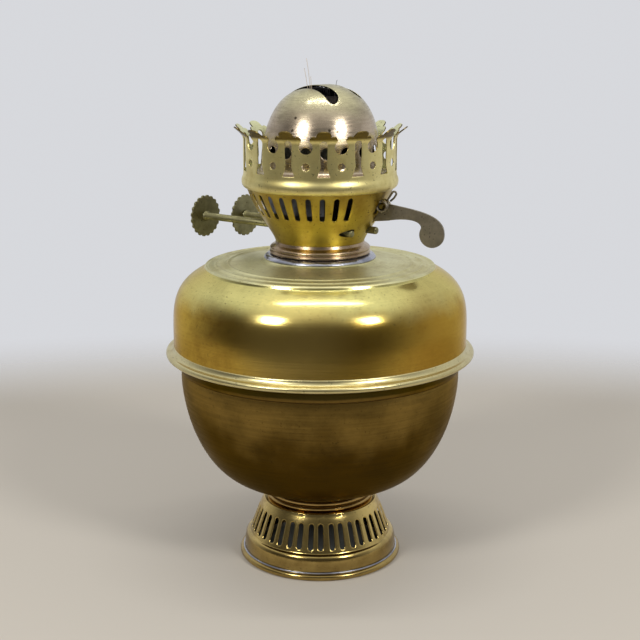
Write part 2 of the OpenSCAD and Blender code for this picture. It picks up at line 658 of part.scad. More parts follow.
// Snuffer: a sleeve round each wick tube, joined by a yoke whose stem stands on the lever's arm
sleeve_half = tube_half + sleeve_clear + sleeve_wall;
sleeve_half_w = tube_half_w + sleeve_clear + sleeve_wall;
sleeve_top_z = flap_hinge_z - 3.3;
sleeve_h = 7.5;
sleeve_drop0 = (tube_top_z - sleeve_top_z) / cos(lean);
knuckle_r = 0.95;
flap_pin_r = 0.45;
knuckle_x = 6.6;
knuckle_len = 3;
tab_t = 0.9;
tab_off = 0.8;
tab_lap = 1.6;
module snuffer_sleeve(side) {
    color("darkgray") difference() {
        union() {
            leaning(side) tube_block(sleeve_half_w, sleeve_half, sleeve_drop0, sleeve_drop0 + sleeve_h);
            for (s = [-1, 1]) translate([s * (knuckle_x + knuckle_len / 2), side * flap_hinge_off, 0]) {
                translate([0, 0, flap_hinge_z]) rotate([0, 90, 0])
                    cylinder(r = knuckle_r, h = knuckle_len, center = true);
                translate([0, side * tab_off, (flap_hinge_z + sleeve_top_z - tab_lap) / 2])
                    cube([knuckle_len, tab_t, flap_hinge_z - sleeve_top_z + tab_lap], center = true);
            }
        }
        leaning(side) tube_block(sleeve_half_w - sleeve_wall, sleeve_half - sleeve_wall, sleeve_drop0 - 12,
                                 sleeve_drop0 + sleeve_h + 1);
        translate([0, side * flap_hinge_off, flap_hinge_z]) rotate([0, 90, 0])
            cylinder(r = flap_pin_r + 0.01, h = 40, center = true);
    }
}
module snuffer_sleeve_front() snuffer_sleeve(front);
module snuffer_sleeve_rear() snuffer_sleeve(rear);
yoke_stem_r = 1.3;
yoke_z = sleeve_top_z - 4.2;
yoke_foot_r = 1.8;
yoke_foot_len = 4;
yoke_window_r = norm([yoke_foot_len / 2, yoke_foot_r]) + 0.4;
yoke_rest_gap = 0.2;
module snuffer_yoke() {
    color("darkgray") union() {
        difference() {
            translate([-3, -tube_top_off - 2, yoke_z - 1]) cube([6, 2 * tube_top_off + 4, 1.2]);
            for (side = [front, rear]) leaning(side)
                tube_block(sleeve_half_w, sleeve_half, sleeve_drop0 - 5, sleeve_drop0 + sleeve_h + 9);
        }
        translate([0, 0, arm_top_z + yoke_rest_gap + yoke_foot_r])
            cylinder(r = yoke_stem_r, h = yoke_z - arm_top_z - yoke_rest_gap - yoke_foot_r);
        lever_plane() translate([0, arm_top_z + yoke_rest_gap + yoke_foot_r, -yoke_foot_len / 2])
            cylinder(r = yoke_foot_r, h = yoke_foot_len);
    }
}
module flap_pin(side) {
    color("darkgoldenrod") translate([0, side * flap_hinge_off, flap_hinge_z]) rotate([0, 90, 0])
        cylinder(r = flap_pin_r, h = 2 * (knuckle_x + knuckle_len) + 0.6, center = true);
}
module flap_pin_front() flap_pin(front);
module flap_pin_rear() flap_pin(rear);
// A flap stands upright beside its wick and folds over it
flap_t = 0.4;
flap_half_w = wick_w / 2 + 0.2;
flap_step = knuckle_r + 0.35;
module flap(side) {
    barrel = knuckle_x - 0.2;
    color("darkgray") translate([0, side * flap_hinge_off, flap_hinge_z]) difference() {
        union() {
            rotate([0, 90, 0]) cylinder(r = knuckle_r, h = 2 * barrel, center = true);
            translate([-barrel, -flap_t / 2, 0]) cube([2 * barrel, flap_t, flap_len]);
            translate([-flap_half_w, -flap_t / 2, flap_step])
                cube([2 * flap_half_w, flap_t, flap_len - flap_step]);
        }
        rotate([0, 90, 0]) cylinder(r = flap_pin_r + 0.05, h = 40, center = true);
    }
}
module flap_front() flap(front);
module flap_rear() flap(rear);

// Gallery: a pierced crown on a beaded ring that drops into the burner body
gallery_drop = 1.4;
rim_slope = body_flare / (body_top_z - body_z - body_flare_z);
spigot_clear = 0.3;
gallery_spigot = body_top_r - body_wall * sqrt(1 + rim_slope * rim_slope) - gallery_drop * rim_slope
                 - spigot_clear;
crown_flare = concat([[gallery_r, flare_z - 1]],
    curve([gallery_r, flare_z], [gallery_r + 0.2, flare_z + 2.4], [gallery_r + 2.2, flare_z + 3.4],
          [crown_r, crown_z], 6));
gallery_outer = concat(
    [[gallery_spigot, body_top_z - gallery_drop], [gallery_spigot, body_top_z], [body_top_r + 0.3, body_top_z]],
    curve([body_top_r + 0.8, body_top_z + 0.3], [gallery_bead_r - 0.1, body_top_z + 1.0],
          [gallery_bead_r + 0.3, body_top_z + 3.4], [gallery_r + 0.2, body_top_z + 5.4], 8),
    [[gallery_r, body_top_z + 6.8]], crown_flare);
gallery_inner = concat(reversed(shifted(crown_flare, gallery_wall)),
    [[gallery_bore, body_top_z + 3], [gallery_spigot - gallery_wall, body_top_z + 1],
     [gallery_spigot - gallery_wall, body_top_z - gallery_drop]]);
tip_pitch = 2 * PI * gallery_r / tips;
hole_z = flare_z - 0.9;
slot_foot_z = seat_z + 1.8;
module keyhole() {
    stem_top = flare_z + 1.7;
    polygon([[-stem_foot_w / 2, slot_foot_z], [stem_foot_w / 2, slot_foot_z],
             [stem_w / 2 - 0.35, slot_foot_z + 4.3], [stem_w / 2, slot_foot_z + 9],
             [stem_w / 2, stem_top - stem_w / 2], [-stem_w / 2, stem_top - stem_w / 2],
             [-stem_w / 2, slot_foot_z + 9], [-stem_w / 2 + 0.35, slot_foot_z + 4.3]]);
    translate([0, stem_top - stem_w / 2]) circle(d = stem_w, $fn = 24);
}
module tip_gap() {
    mouth = big_hole_r * 0.62;
    half = tip_pitch / 2;
    edge = [[mouth, hole_z + 1], [mouth, hole_z + 2.6], [mouth + 0.6, hole_z + 4.0], [mouth + 0.5, hole_z + 4.7],
            [mouth + 1.3, crown_z - 1.4], [half - 3.2, crown_z - 1.2], [half - 2.9, crown_z + 2]];
    polygon(concat(edge, [for (i = [len(edge) - 1:-1:0]) [-edge[i][0], edge[i][1]]]));
}
slot_bearing = -49.8;
module gallery_crown() {
    color("darkkhaki") difference() {
        rotate_extrude() polygon(concat(gallery_outer, gallery_inner));
        for (i = [0:tips - 1]) let (b = slot_bearing + i * 360 / tips, h = 180 / tips) {
            radial_cut(b, 0, gallery_r - 6, crown_r + 4) keyhole();
            radial_cut(b + h, 0, gallery_r - 6, crown_r + 4) {
                translate([0, hole_z]) circle(r = big_hole_r, $fn = 32);
                translate([0, slot_foot_z + 4.2]) circle(r = small_hole_r, $fn = 32);
                tip_gap();
            }
        }
    }
}
seat_t = 0.6;
plate_holes = 28;
plate_hole_r = 1.2;
module gallery_plate() {
    color("darkkhaki") difference() {
        ring(dome_skirt_r, gallery_bore, seat_z, seat_z + seat_t);
        for (i = [0:plate_holes - 1]) rotate([0, 0, i * 360 / plate_holes])
            translate([(dome_skirt_r + gallery_bore) / 2, 0, seat_z - 1])
                cylinder(r = plate_hole_r, h = seat_t + 2, $fn = 24);
    }
}

// Dome: a spun hood with two flame slots and a ring of air holes, fixed in the plate by its skirt
dome_skirt_r = dome_r + 0.02;
dome_outer = curve([dome_r, dome_foot_z], [dome_r, dome_foot_z + 21],
                   [dome_r - 6, dome_z], [0, dome_z], 22);
dome_hole_rise = 10.6;
dome_hole_bearing = slot_bearing + 3.4;
module dome() {
    color("tan") difference() {
        spun_shell(dome_outer, dome_wall);
        for (side = [front, rear]) translate([0, side * tube_top_off, dome_z - 14]) linear_extrude(20)
            rotate(90) round_slot(flame_w, flame_len);
        for (i = [0:dome_holes - 1])
            radial_cut(dome_hole_bearing + i * 360 / dome_holes, seat_z + dome_hole_rise,
                       dome_r - 4, dome_r + 2)
                circle(r = dome_hole_r, $fn = 32);
    }
}

foot_shell();
foot_stud();
foot_nut();
neck_moulding();
neck_band();
bowl_lower();
font_shoulder();
seam_ring();
font_collar();
solder_ring();
burner_base_ring();
burner_body();
base_plate();
wick_tube_front();
wick_tube_rear();
draught_cup();
lever_bracket();
lever_pivot_pin();
lever_spring();
spindle_front();
thumb_wheel_front();
spur_wheels_front();
spindle_rear();
thumb_wheel_rear();
spur_wheels_rear();
wick_front();
wick_rear();
extinguisher_lever();
snuffer_sleeve_front();
snuffer_sleeve_rear();
snuffer_yoke();
flap_pin_front();
flap_pin_rear();
flap_front();
flap_rear();
gallery_crown();
gallery_plate();
dome();
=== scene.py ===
import math
import random

import bmesh
import bpy
from mathutils import Matrix, Vector, noise


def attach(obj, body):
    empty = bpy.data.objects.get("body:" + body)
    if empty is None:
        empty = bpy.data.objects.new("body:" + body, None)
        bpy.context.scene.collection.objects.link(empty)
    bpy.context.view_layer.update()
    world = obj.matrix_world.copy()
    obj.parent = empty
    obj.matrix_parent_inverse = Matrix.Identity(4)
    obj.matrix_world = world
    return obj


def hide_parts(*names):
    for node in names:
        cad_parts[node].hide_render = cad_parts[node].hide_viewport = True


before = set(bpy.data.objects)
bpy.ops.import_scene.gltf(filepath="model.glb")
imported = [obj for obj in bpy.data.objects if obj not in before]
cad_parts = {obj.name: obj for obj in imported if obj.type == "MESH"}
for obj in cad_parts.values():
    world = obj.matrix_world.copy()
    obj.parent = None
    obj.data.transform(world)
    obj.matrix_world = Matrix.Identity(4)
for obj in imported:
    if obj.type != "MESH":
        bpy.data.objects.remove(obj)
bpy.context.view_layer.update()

# Foot: a spun brass cone on a wire-edged ogee, pierced by a press with twenty pairs of slots.
# The press turned the slots' edges in, so that each has a bright rounded lip.
# Everything is drawn in millimetres, as radius and height from the lamp's axis and the table.


def curve(a, b, c, d, count):
    """Points along a smooth curve from a to d, with b and c as its handles."""
    points = []
    for i in range(count + 1):
        t = i / count
        u = 1 - t
        weights = (u**3, 3 * u * u * t, 3 * u * t * t, t**3)
        points.append(tuple(sum(w * p[k] for w, p in zip(weights, (a, b, c, d))) for k in (0, 1)))
    return points


def arc(centre, radius, start, end, count):
    """Points along a round stretch, between two angles in degrees."""
    angles = [math.radians(start + (end - start) * i / count) for i in range(count + 1)]
    return [(centre[0] + radius * math.cos(a), centre[1] + radius * math.sin(a)) for a in angles]


def slot_outline(x, z, width, length):
    """An upright slot with round ends, drawn anticlockwise."""
    reach = (length - width) / 2
    return arc((x, z + reach), width / 2, 0, 180, 8) + arc((x, z - reach), width / 2, 180, 360, 8)


def grown(outline, by):
    """An anticlockwise outline moved outwards by the same amount all round."""
    moved = []
    for i, point in enumerate(outline):
        here = Vector(point)
        before = (here - Vector(outline[i - 1])).normalized()
        after = (Vector(outline[(i + 1) % len(outline)]) - here).normalized()
        out = Vector((before.y + after.y, -before.x - after.x))
        moved.append(tuple(here + out * by * 2 / max(0.6, out.length_squared)))
    return moved


def ring_of(bm, points):
    """A closed loop of edges in the drawing plane."""
    verts = [bm.verts.new((x, 0, z)) for x, z in points]
    return [bm.edges.new((verts[i - 1], v)) for i, v in enumerate(verts)]


def onward(bm, edges):
    """Extrudes edges in place and gives the new vertices and the new outer edges."""
    grown_from = bmesh.ops.extrude_edge_only(bm, edges=edges)["geom"]
    verts = {g for g in grown_from if isinstance(g, bmesh.types.BMVert)}
    outer = {e for v in verts for e in v.link_edges if set(e.verts) <= verts}
    return verts, list(outer)


def sheet(outer, holes, lip):
    """A flat sheet filled round its holes, whose edges are turned in by the lip's radius."""
    bm = bmesh.new()
    ring_of(bm, outer)
    rims = [ring_of(bm, grown(hole, lip)) for hole in holes]
    bmesh.ops.triangle_fill(bm, use_beauty=True, use_dissolve=False, edges=bm.edges[:])
    for hole, rim in zip(holes, rims):
        before = grown(hole, lip)
        for turn in (30, 60, 90) if lip else ():
            inward = math.sin(math.radians(turn))
            depth = lip * (1 - math.cos(math.radians(turn)))
            after = grown(hole, lip * (1 - inward))
            places = {(round(x, 3), round(z, 3)): i for i, (x, z) in enumerate(before)}
            verts, rim = onward(bm, rim)
            for v in verts:
                x, z = after[places[round(v.co.x, 3), round(v.co.z, 3)]]
                v.co = (x, -depth, z)
            before = after
    return bm


def cut(bm, columns, rows):
    """Cuts a flat sheet along upright and level lines, so that it can bend smoothly."""
    for normal, places in (((1, 0, 0), columns), ((0, 0, 1), rows)):
        for place in places:
            geometry = bm.verts[:] + bm.edges[:] + bm.faces[:]
            spot = [n * place for n in normal]
            bmesh.ops.bisect_plane(bm, geom=geometry, dist=1e-4, plane_co=spot, plane_no=normal)


def wrap(bm, wall, turn):
    """Bends a flat sheet round the axis onto a wall, which gives radius and slope at each height."""
    for v in bm.verts:
        radius, slope = wall(v.co.z)
        out = Vector((1, -slope)).normalized()
        angle = v.co.x * turn
        reach = radius + v.co.y * out.x
        v.co = (reach * math.cos(angle), reach * math.sin(angle), v.co.z + v.co.y * out.y)


def wall_of(outline):
    """Gives the radius and the slope at any height of an outline that runs upwards."""

    def at(z):
        for (r0, z0), (r1, z1) in zip(outline, outline[1:]):
            if z <= z1 or (r1, z1) == outline[-1]:
                share = (z - z0) / (z1 - z0)
                return r0 + (r1 - r0) * share, (r1 - r0) / (z1 - z0)

    return at


def repeat_round(bm, copies):
    """Repeats one cell of a pattern round the axis and welds the cells together."""
    geometry = bm.verts[:] + bm.edges[:] + bm.faces[:]
    turn = 2 * math.pi * (copies - 1) / copies
    bmesh.ops.spin(
        bm, geom=geometry, axis=(0, 0, 1), cent=(0, 0, 0), angle=turn, steps=copies - 1, use_duplicate=True
    )
    bmesh.ops.remove_doubles(bm, verts=bm.verts[:], dist=0.004)


def rim_at(bm, height):
    """The open edges of a shell at one height."""
    return [e for e in bm.edges if e.is_boundary and all(abs(v.co.z - height) < 0.01 for v in e.verts)]


def carry(bm, edges, outline):
    """Carries a shell on from an open edge through more points of its outline."""
    for radius, height in outline:
        verts, edges = onward(bm, edges)
        for v in verts:
            reach = radius / max(1e-6, math.hypot(v.co.x, v.co.y))
            v.co = (v.co.x * reach, v.co.y * reach, height)
    bmesh.ops.remove_doubles(bm, verts=bm.verts[:], dist=0.004)


def face_out(bm, centre_z):
    """Turns a shell's faces away from a point on the axis."""
    bmesh.ops.recalc_face_normals(bm, faces=bm.faces[:])
    centre = Vector((0, 0, centre_z))
    if sum(f.normal.dot(f.calc_center_median() - centre) * f.calc_area() for f in bm.faces) < 0:
        bmesh.ops.reverse_faces(bm, faces=bm.faces[:])


def place(bm, name, body, slot, material, stands_for=(), wall=0.0, edge=0.0, inside=None):
    """Makes a drawing in millimetres a piece that rides on a body, with a wall and rounded edges."""
    bmesh.ops.scale(bm, vec=(0.001,) * 3, verts=bm.verts[:])
    for face in bm.faces:
        face.smooth = True
    mesh = bpy.data.meshes.new(name)
    bm.to_mesh(mesh)
    bm.free()
    mesh.materials.append(material)
    if inside:
        mesh.materials.append(inside)
    piece = bpy.data.objects.new(name, mesh)
    bpy.context.scene.collection.objects.link(piece)
    if wall:
        solid = piece.modifiers.new("wall", "SOLIDIFY")
        solid.thickness = wall * 0.001
        solid.offset = -1
        solid.material_offset = 1 if inside else 0
    if edge:
        bevel = piece.modifiers.new("edge", "BEVEL")
        bevel.width = edge * 0.001
        bevel.segments = 2
        bevel.limit_method = "ANGLE"
        bevel.angle_limit = math.radians(38)
        bevel.harden_normals = True
    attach(piece, body)
    if stands_for:
        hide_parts(*stands_for)
    return piece


def node(tree, kind, inputs=(), **settings):
    """Adds a shader node with its settings, and its inputs as values or other nodes' sockets."""
    made = tree.nodes.new(kind)
    for key, value in settings.items():
        setattr(made, key, value)
    for key, value in dict(inputs).items():
        if isinstance(value, bpy.types.NodeSocket):
            tree.links.new(value, made.inputs[key])
        else:
            made.inputs[key].default_value = value
    return made


def new_group(name, inputs, outputs):
    """A node group with named inputs and outputs."""
    tree = bpy.data.node_groups.new(name, "ShaderNodeTree")
    for label, kind, value in inputs:
        tree.interface.new_socket(label, in_out="INPUT", socket_type=kind).default_value = value
    for label, kind in outputs:
        tree.interface.new_socket(label, in_out="OUTPUT", socket_type=kind)
    return tree, tree.nodes.new("NodeGroupInput").outputs, tree.nodes.new("NodeGroupOutput").inputs


def band(tree, value, low, high):
    """A soft step from 0 to 1 as a value goes from low to high."""
    inputs = {0: value, 1: low, 2: high}
    return node(tree, "ShaderNodeMapRange", inputs, interpolation_type="SMOOTHSTEP").outputs[0]


def times(tree, a, b):
    return node(tree, "ShaderNodeMath", {0: a, 1: b}, operation="MULTIPLY").outputs[0]


def plus(tree, a, b):
    return node(tree, "ShaderNodeMath", {0: a, 1: b}, operation="ADD").outputs[0]


def tint(tree, share, a, b):
    """A colour between a and b."""
    return node(tree, "ShaderNodeMix", {0: share, 6: a, 7: b}, data_type="RGBA").outputs[2]


def old_metal_group():
    """Tarnish in soft patches, turning lines round the axis, freckles of grime, and grime with painted shade in the
    grooves.
    """
    colours = [(label, "NodeSocketColor", (0.5, 0.5, 0.5, 1)) for label in ("Clean", "Tarnish", "Grime and Shade")]
    amounts = [("Patch Scale", 40), ("Tarnished", 0.5), ("Lines", 0.3), ("Freckles", 0.4), ("Roughness", 0.3)]
    floats = [(label, "NodeSocketFloat", value) for label, value in amounts]
    outputs = [("Color", "NodeSocketColor"), ("Roughness", "NodeSocketFloat"), ("Height", "NodeSocketFloat")]
    tree, given, out = new_group("old metal", colours + floats, outputs)
    place_on_piece = node(tree, "ShaderNodeTexCoord").outputs["Object"]
    level = node(tree, "ShaderNodeVectorMath", {0: place_on_piece, 1: (1, 1, 0)}, operation="MULTIPLY").outputs[0]
    radius = node(tree, "ShaderNodeVectorMath", {0: level}, operation="LENGTH").outputs["Value"]
    bearing = node(tree, "ShaderNodeVectorMath", {0: level}, operation="NORMALIZE").outputs[0]
    height = node(tree, "ShaderNodeSeparateXYZ", {0: place_on_piece}).outputs["Z"]
    fine = 1100
    lift = node(tree, "ShaderNodeCombineXYZ", {2: times(tree, height, fine)}).outputs[0]
    turned = node(tree, "ShaderNodeVectorMath", {0: bearing, 1: (2.2, 2.2, 2.2)}, operation="MULTIPLY").outputs[0]
    turned = node(tree, "ShaderNodeVectorMath", {0: turned, 1: lift}, operation="ADD").outputs[0]
    lines = {"Vector": turned, "W": times(tree, radius, fine), "Scale": 1, "Detail": 4, "Roughness": 0.65}
    lines = node(tree, "ShaderNodeTexNoise", lines, noise_dimensions="4D").outputs[0]
    line = band(tree, lines, 0.34, 0.68)
    patches = {"Vector": place_on_piece, "Scale": given["Patch Scale"], "Detail": 6, "Roughness": 0.62}
    patch = node(tree, "ShaderNodeTexNoise", patches).outputs[0]
    middle = node(tree, "ShaderNodeMath", {0: 1, 1: given["Tarnished"]}, operation="SUBTRACT").outputs[0]
    patch = band(tree, patch, plus(tree, middle, -0.17), plus(tree, middle, 0.17))
    grain = {"Vector": place_on_piece, "Scale": 520, "Detail": 4, "Roughness": 0.7}
    grain = node(tree, "ShaderNodeTexNoise", grain).outputs[0]
    spots = node(tree, "ShaderNodeTexNoise", {"Vector": place_on_piece, "Scale": 900, "Detail": 1}).outputs[0]
    spot = times(tree, band(tree, spots, 0.68, 0.74), given["Freckles"])
    # Where ambient occlusion finds a narrow groove the colour goes towards the grime colour: painted shade in the
    # creases, together with grime.
    open_sky = node(tree, "ShaderNodeAmbientOcclusion", {"Distance": 0.0016}, samples=6, only_local=True)
    groove = band(tree, open_sky.outputs["AO"], 0.62, 0.18)
    line_share = times(tree, line, given["Lines"])
    share = plus(tree, times(tree, patch, 0.75), times(tree, line_share, 0.6))
    share = plus(tree, share, times(tree, band(tree, grain, 0.4, 0.75), 0.18))
    colour = tint(tree, share, given["Clean"], given["Tarnish"])
    colour = tint(tree, plus(tree, spot, times(tree, groove, 0.7)), colour, given["Grime and Shade"])
    tree.links.new(colour, out["Color"])
    rough = plus(tree, given["Roughness"], times(tree, patch, 0.1))
    rough = plus(tree, rough, times(tree, plus(tree, line_share, times(tree, grain, 0.25)), 0.16))
    tree.links.new(plus(tree, rough, times(tree, groove, 0.3)), out["Roughness"])
    tree.links.new(plus(tree, line_share, times(tree, grain, 0.5)), out["Height"])
    return tree


old_metal = old_metal_group()


def metal(name, clean, tarnish, grime_and_shade, patch, tarnished, lines, freckles, rough, bump=0.012, above=None):
    """A metal finish; above gives a second colour and the heights in metres where it takes over."""
    material = bpy.data.materials.new(name)
    material.use_nodes = True
    tree = material.node_tree
    shader = tree.nodes["Principled BSDF"]
    group = node(tree, "ShaderNodeGroup", node_tree=old_metal)
    for label, colour in (("Clean", clean), ("Tarnish", tarnish), ("Grime and Shade", grime_and_shade)):
        group.inputs[label].default_value = (*colour, 1)
    amounts = {"Patch Scale": patch, "Tarnished": tarnished, "Lines": lines, "Freckles": freckles}
    for label, value in {**amounts, "Roughness": rough}.items():
        group.inputs[label].default_value = value
    if above:
        other, low, high = above
        spot = node(tree, "ShaderNodeTexCoord").outputs["Object"]
        height = node(tree, "ShaderNodeSeparateXYZ", {0: spot}).outputs["Z"]
        uneven = node(tree, "ShaderNodeTexNoise", {"Vector": spot, "Scale": 45, "Detail": 3}).outputs[0]
        height = plus(tree, height, times(tree, plus(tree, uneven, -0.5), (high - low) * 1.4))
        upper = band(tree, height, low, high)
        dull = tuple(0.52 * part for part in other)
        tree.links.new(tint(tree, upper, (*clean, 1), (*other, 1)), group.inputs["Clean"])
        tree.links.new(tint(tree, upper, (*tarnish, 1), (*dull, 1)), group.inputs["Tarnish"])
    raised = {"Height": group.outputs["Height"], "Distance": bump * 0.001, "Strength": 1}
    shader.inputs["Metallic"].default_value = 1
    tree.links.new(group.outputs["Color"], shader.inputs["Base Color"])
    tree.links.new(group.outputs["Roughness"], shader.inputs["Roughness"])
    tree.links.new(node(tree, "ShaderNodeBump", raised).outputs[0], shader.inputs["Normal"])
    return material


foot_brass = metal(
    "foot_brass", (0.43, 0.31, 0.105), (0.23, 0.15, 0.045), (0.05, 0.035, 0.02), 60, 0.42, 0.25, 0.5, 0.12,
    above=((0.66, 0.49, 0.17), 0.0095, 0.0115),
)
# Near-black inner faces of the foot, the neck band and the dome: painted shade inside the hollows.
painted_shade_inside = metal(
    "painted_shade_inside", (0.045, 0.038, 0.03), (0.03, 0.026, 0.022), (0.02, 0.015, 0.01), 60, 0.5, 0.2, 0.5, 0.7
)
foot_r = 37.2
foot_bead = 1.5
cone_foot = (32.3, 11.4)
cone_top = (26.1, 26.8)
foot_h = 27.3
foot_pairs = 20
pair_step = 8.4
foot_slot = (2.3, 10.8)
foot_slot_z = 17.9
first_pair = -56
cell = 360 / foot_pairs
cone_middle = (cone_foot[0] + cone_top[0]) / 2
cone_wall = wall_of(curve(cone_foot, (30.5, 15.9), (28.1, 23.4), cone_top, 16))
half_cell = math.radians(cell / 2) * cone_middle
half_step = math.radians(pair_step / 2) * cone_middle
foot_slots = [
    [
        (side * half_step + (x - side * half_step) * cone_middle / cone_wall(z)[0], z)
        for x, z in slot_outline(side * half_step, foot_slot_z, *foot_slot)
    ]
    for side in (-1, 1)
]
bm = sheet(
    [(-half_cell, cone_foot[1]), (half_cell, cone_foot[1]), (half_cell, cone_top[1]), (-half_cell, cone_top[1])],
    foot_slots,
    0.42,
)
foot_columns = [half_cell * i / 6 for i in range(-5, 6)]
foot_rows = [cone_foot[1] + (cone_top[1] - cone_foot[1]) * i / 14 for i in range(1, 14)]
cut(bm, foot_columns, foot_rows)
wrap(bm, cone_wall, math.radians(cell) / (2 * half_cell))
bmesh.ops.rotate(bm, verts=bm.verts[:], cent=(0, 0, 0), matrix=Matrix.Rotation(math.radians(first_pair), 3, "Z"))
repeat_round(bm, foot_pairs)
top_edge = arc((cone_top[0] - 0.5, cone_top[1]), 0.5, 25, 90, 4)
carry(bm, rim_at(bm, cone_top[1]), top_edge + [(22, foot_h), (4, foot_h)])
ledge = (foot_r - 2.2, 2 * foot_bead + 0.2)
step_down = [(cone_foot[0] + 0.1, 11.05), (cone_foot[0] + 0.3, 10.9)]
ogee = curve((cone_foot[0] + 0.6, 10.88), (ledge[0] - 0.5, 10.5), (ledge[0], 8.8), ledge, 12)
bead = arc((foot_r - foot_bead, foot_bead), foot_bead, 86, -165, 18)
carry(bm, rim_at(bm, cone_foot[1]), step_down + ogee + [(ledge[0] + 0.3, ledge[1] - 0.1)] + bead)
face_out(bm, 14)
place(bm, "foot", "font", "foot_brass", foot_brass, ["foot_shell"], wall=0.38, edge=0.07, inside=painted_shade_inside)

# Stud and nut: a brass stud soldered under the bowl, and the washer and nut that draw the foot up to it.
# They sit inside the foot, turned and milled from plain bar, and have gone dull.


def dress(names, material):
    """Gives CAD nodes that keep their shape a finish."""
    for name in names:
        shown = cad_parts[name].data.materials
        shown.clear()
        shown.append(material)


bar_brass = metal(
    "bar_brass", (0.46, 0.33, 0.13), (0.28, 0.19, 0.07), (0.05, 0.035, 0.02), 90, 0.5, 0.5, 0.5, 0.32
)
dress(["foot_stud", "foot_nut"], bar_brass)

# Neck: two beads turned in reddish brass, and above them a thin band pierced with small square holes.
# They lie loose between the foot and the bowl, and the stud clamps them.


def spun(outline, steps=144):
    """A piece turned round the lamp's axis from its closed outline of radius and height."""
    bm = bmesh.new()
    edges = ring_of(bm, outline)
    geometry = list({v for e in edges for v in e.verts}) + edges
    bmesh.ops.spin(
        bm, geom=geometry, axis=(0, 0, 1), cent=(0, 0, 0), angle=2 * math.pi, steps=steps, use_merge=True
    )
    bmesh.ops.remove_doubles(bm, verts=bm.verts[:], dist=0.002)
    bmesh.ops.recalc_face_normals(bm, faces=bm.faces[:])
    return bm


solder_grey = metal(
    "solder_grey", (0.56, 0.57, 0.64), (0.24, 0.25, 0.31), (0.10, 0.09, 0.08), 90, 0.5, 0.2, 0.5, 0.2, bump=0.004
)
# A pale grey ring in the groove above the rim bead: partly solder, partly a painted reflection line of the bright
# room.
groove = (ledge[0] + 0.35, ledge[1] - 0.02)
place(spun(arc(groove, 0.42, 0, 330, 11), 192), "edge_solder_sheen", "font", "solder", solder_grey)
copper_brass = metal(
    "copper_brass", (0.50, 0.38, 0.24), (0.30, 0.20, 0.12), (0.05, 0.03, 0.02), 70, 0.45, 0.3, 0.3, 0.18
)
neck_brass = metal(
    "neck_brass", (0.46, 0.31, 0.11), (0.26, 0.16, 0.05), (0.04, 0.025, 0.015), 70, 0.45, 0.3, 0.3, 0.1
)
neck_r = 24.4
neck_bore = 20.5
neck_h = 5.2
bead_r = neck_h / 4 - 0.05
lower_bead = arc((neck_r - bead_r, foot_h + bead_r + 0.1), bead_r, -80, 80, 9)
upper_bead = arc((neck_r - bead_r, foot_h + neck_h - bead_r - 0.1), bead_r, -80, 80, 9)
neck_outline = (
    [(neck_bore, foot_h), (neck_r - 1.2, foot_h)]
    + lower_bead
    + [(neck_r - 1.3, foot_h + neck_h / 2)]
    + upper_bead
    + [(neck_r - 0.5, foot_h + neck_h - 0.02), (neck_bore, foot_h + neck_h)]
)
place(spun(neck_outline), "neck", "font", "copper_brass", neck_brass, ["neck_moulding"], edge=0.08)

# The bowl is nearly black-brown and lighter from 60 to 88 mm up: partly its dark patina, partly painted shade of the
# shaded table it faces.
bowl_brass = metal(
    "bowl_brass", (0.075, 0.040, 0.004), (0.050, 0.028, 0.005), (0.02, 0.012, 0.006), 34, 0.45, 0.6, 0.35, 0.26,
    above=((0.26, 0.165, 0.04), 0.060, 0.088),
)
bowl_brass.node_tree.nodes["Principled BSDF"].inputs["Specular Tint"].default_value = (0.78, 0.68, 0.52, 1)
band_holes = 42
band_foot = foot_h + neck_h
band_h = 3.9
band_r = 24.6
hole_half = 0.9
half_cell = math.pi * band_r / band_holes
hole = [(-hole_half, band_foot + 0.9), (hole_half, band_foot + 0.9)]
hole += [(hole_half, band_foot + band_h - 0.7), (-hole_half, band_foot + band_h - 0.7)]
band_top = band_foot + band_h
bm = sheet(
    [(-half_cell, band_foot), (half_cell, band_foot), (half_cell, band_top), (-half_cell, band_top)], [hole], 0.12
)
wrap(bm, wall_of([(band_r, band_foot), (band_r, band_top)]), 1 / band_r)
repeat_round(bm, band_holes)
face_out(bm, band_foot)
place(bm, "neck_ring", "font", "bowl_brass", bowl_brass, ["neck_band"], wall=0.6, edge=0.06, inside=painted_shade_inside)

# Font: a deep bowl spun from sheet, left a dark brown bronze deepened by painted shade, and a lighter upper half with
# a ringed shoulder and painted sheen near its top.
# The rolled seam joins the two halves all round, soldered and turned smooth.


def dented(bm, depth, size):
    """Gives a spun shell the soft unevenness of thin old sheet."""
    for v in bm.verts:
        level = Vector((v.co.x, v.co.y, 0))
        if level.length > 1:
            v.co += level.normalized() * depth * noise.noise(v.co / size)


def thick(outline, wall):
    """Closes an outline that runs upwards into a wall, measured level towards the axis."""
    inner = []
    for i, (r, z) in enumerate(outline):
        before, after = outline[max(i - 1, 0)], outline[min(i + 1, len(outline) - 1)]
        along = Vector((after[0] - before[0], after[1] - before[1])).normalized()
        inner.append((max(0, r - wall * along.y), z + wall * along.x))
    return outline + inner[::-1]


font_wall = 0.9
bowl_foot = band_top
bowl_r = 62.3
seam_z = 96.4
bowl_top = seam_z - 6.4
bowl_outline = [(0, bowl_foot), (band_r - 1, bowl_foot), (band_r + 1.6, bowl_foot + 0.02)] + curve(
    (band_r + 3.8, bowl_foot + 0.2), (bowl_r - 6.2, bowl_foot + 0.1), (bowl_r + 1.6, bowl_top - 12.1),
    (bowl_r, bowl_top), 48,
)
bm = spun(thick(bowl_outline + [(bowl_r, bowl_top + 4)], font_wall), 192)
dented(bm, 0.09, 16)
place(bm, "bowl", "font", "bowl_brass", bowl_brass, ["bowl_lower"])



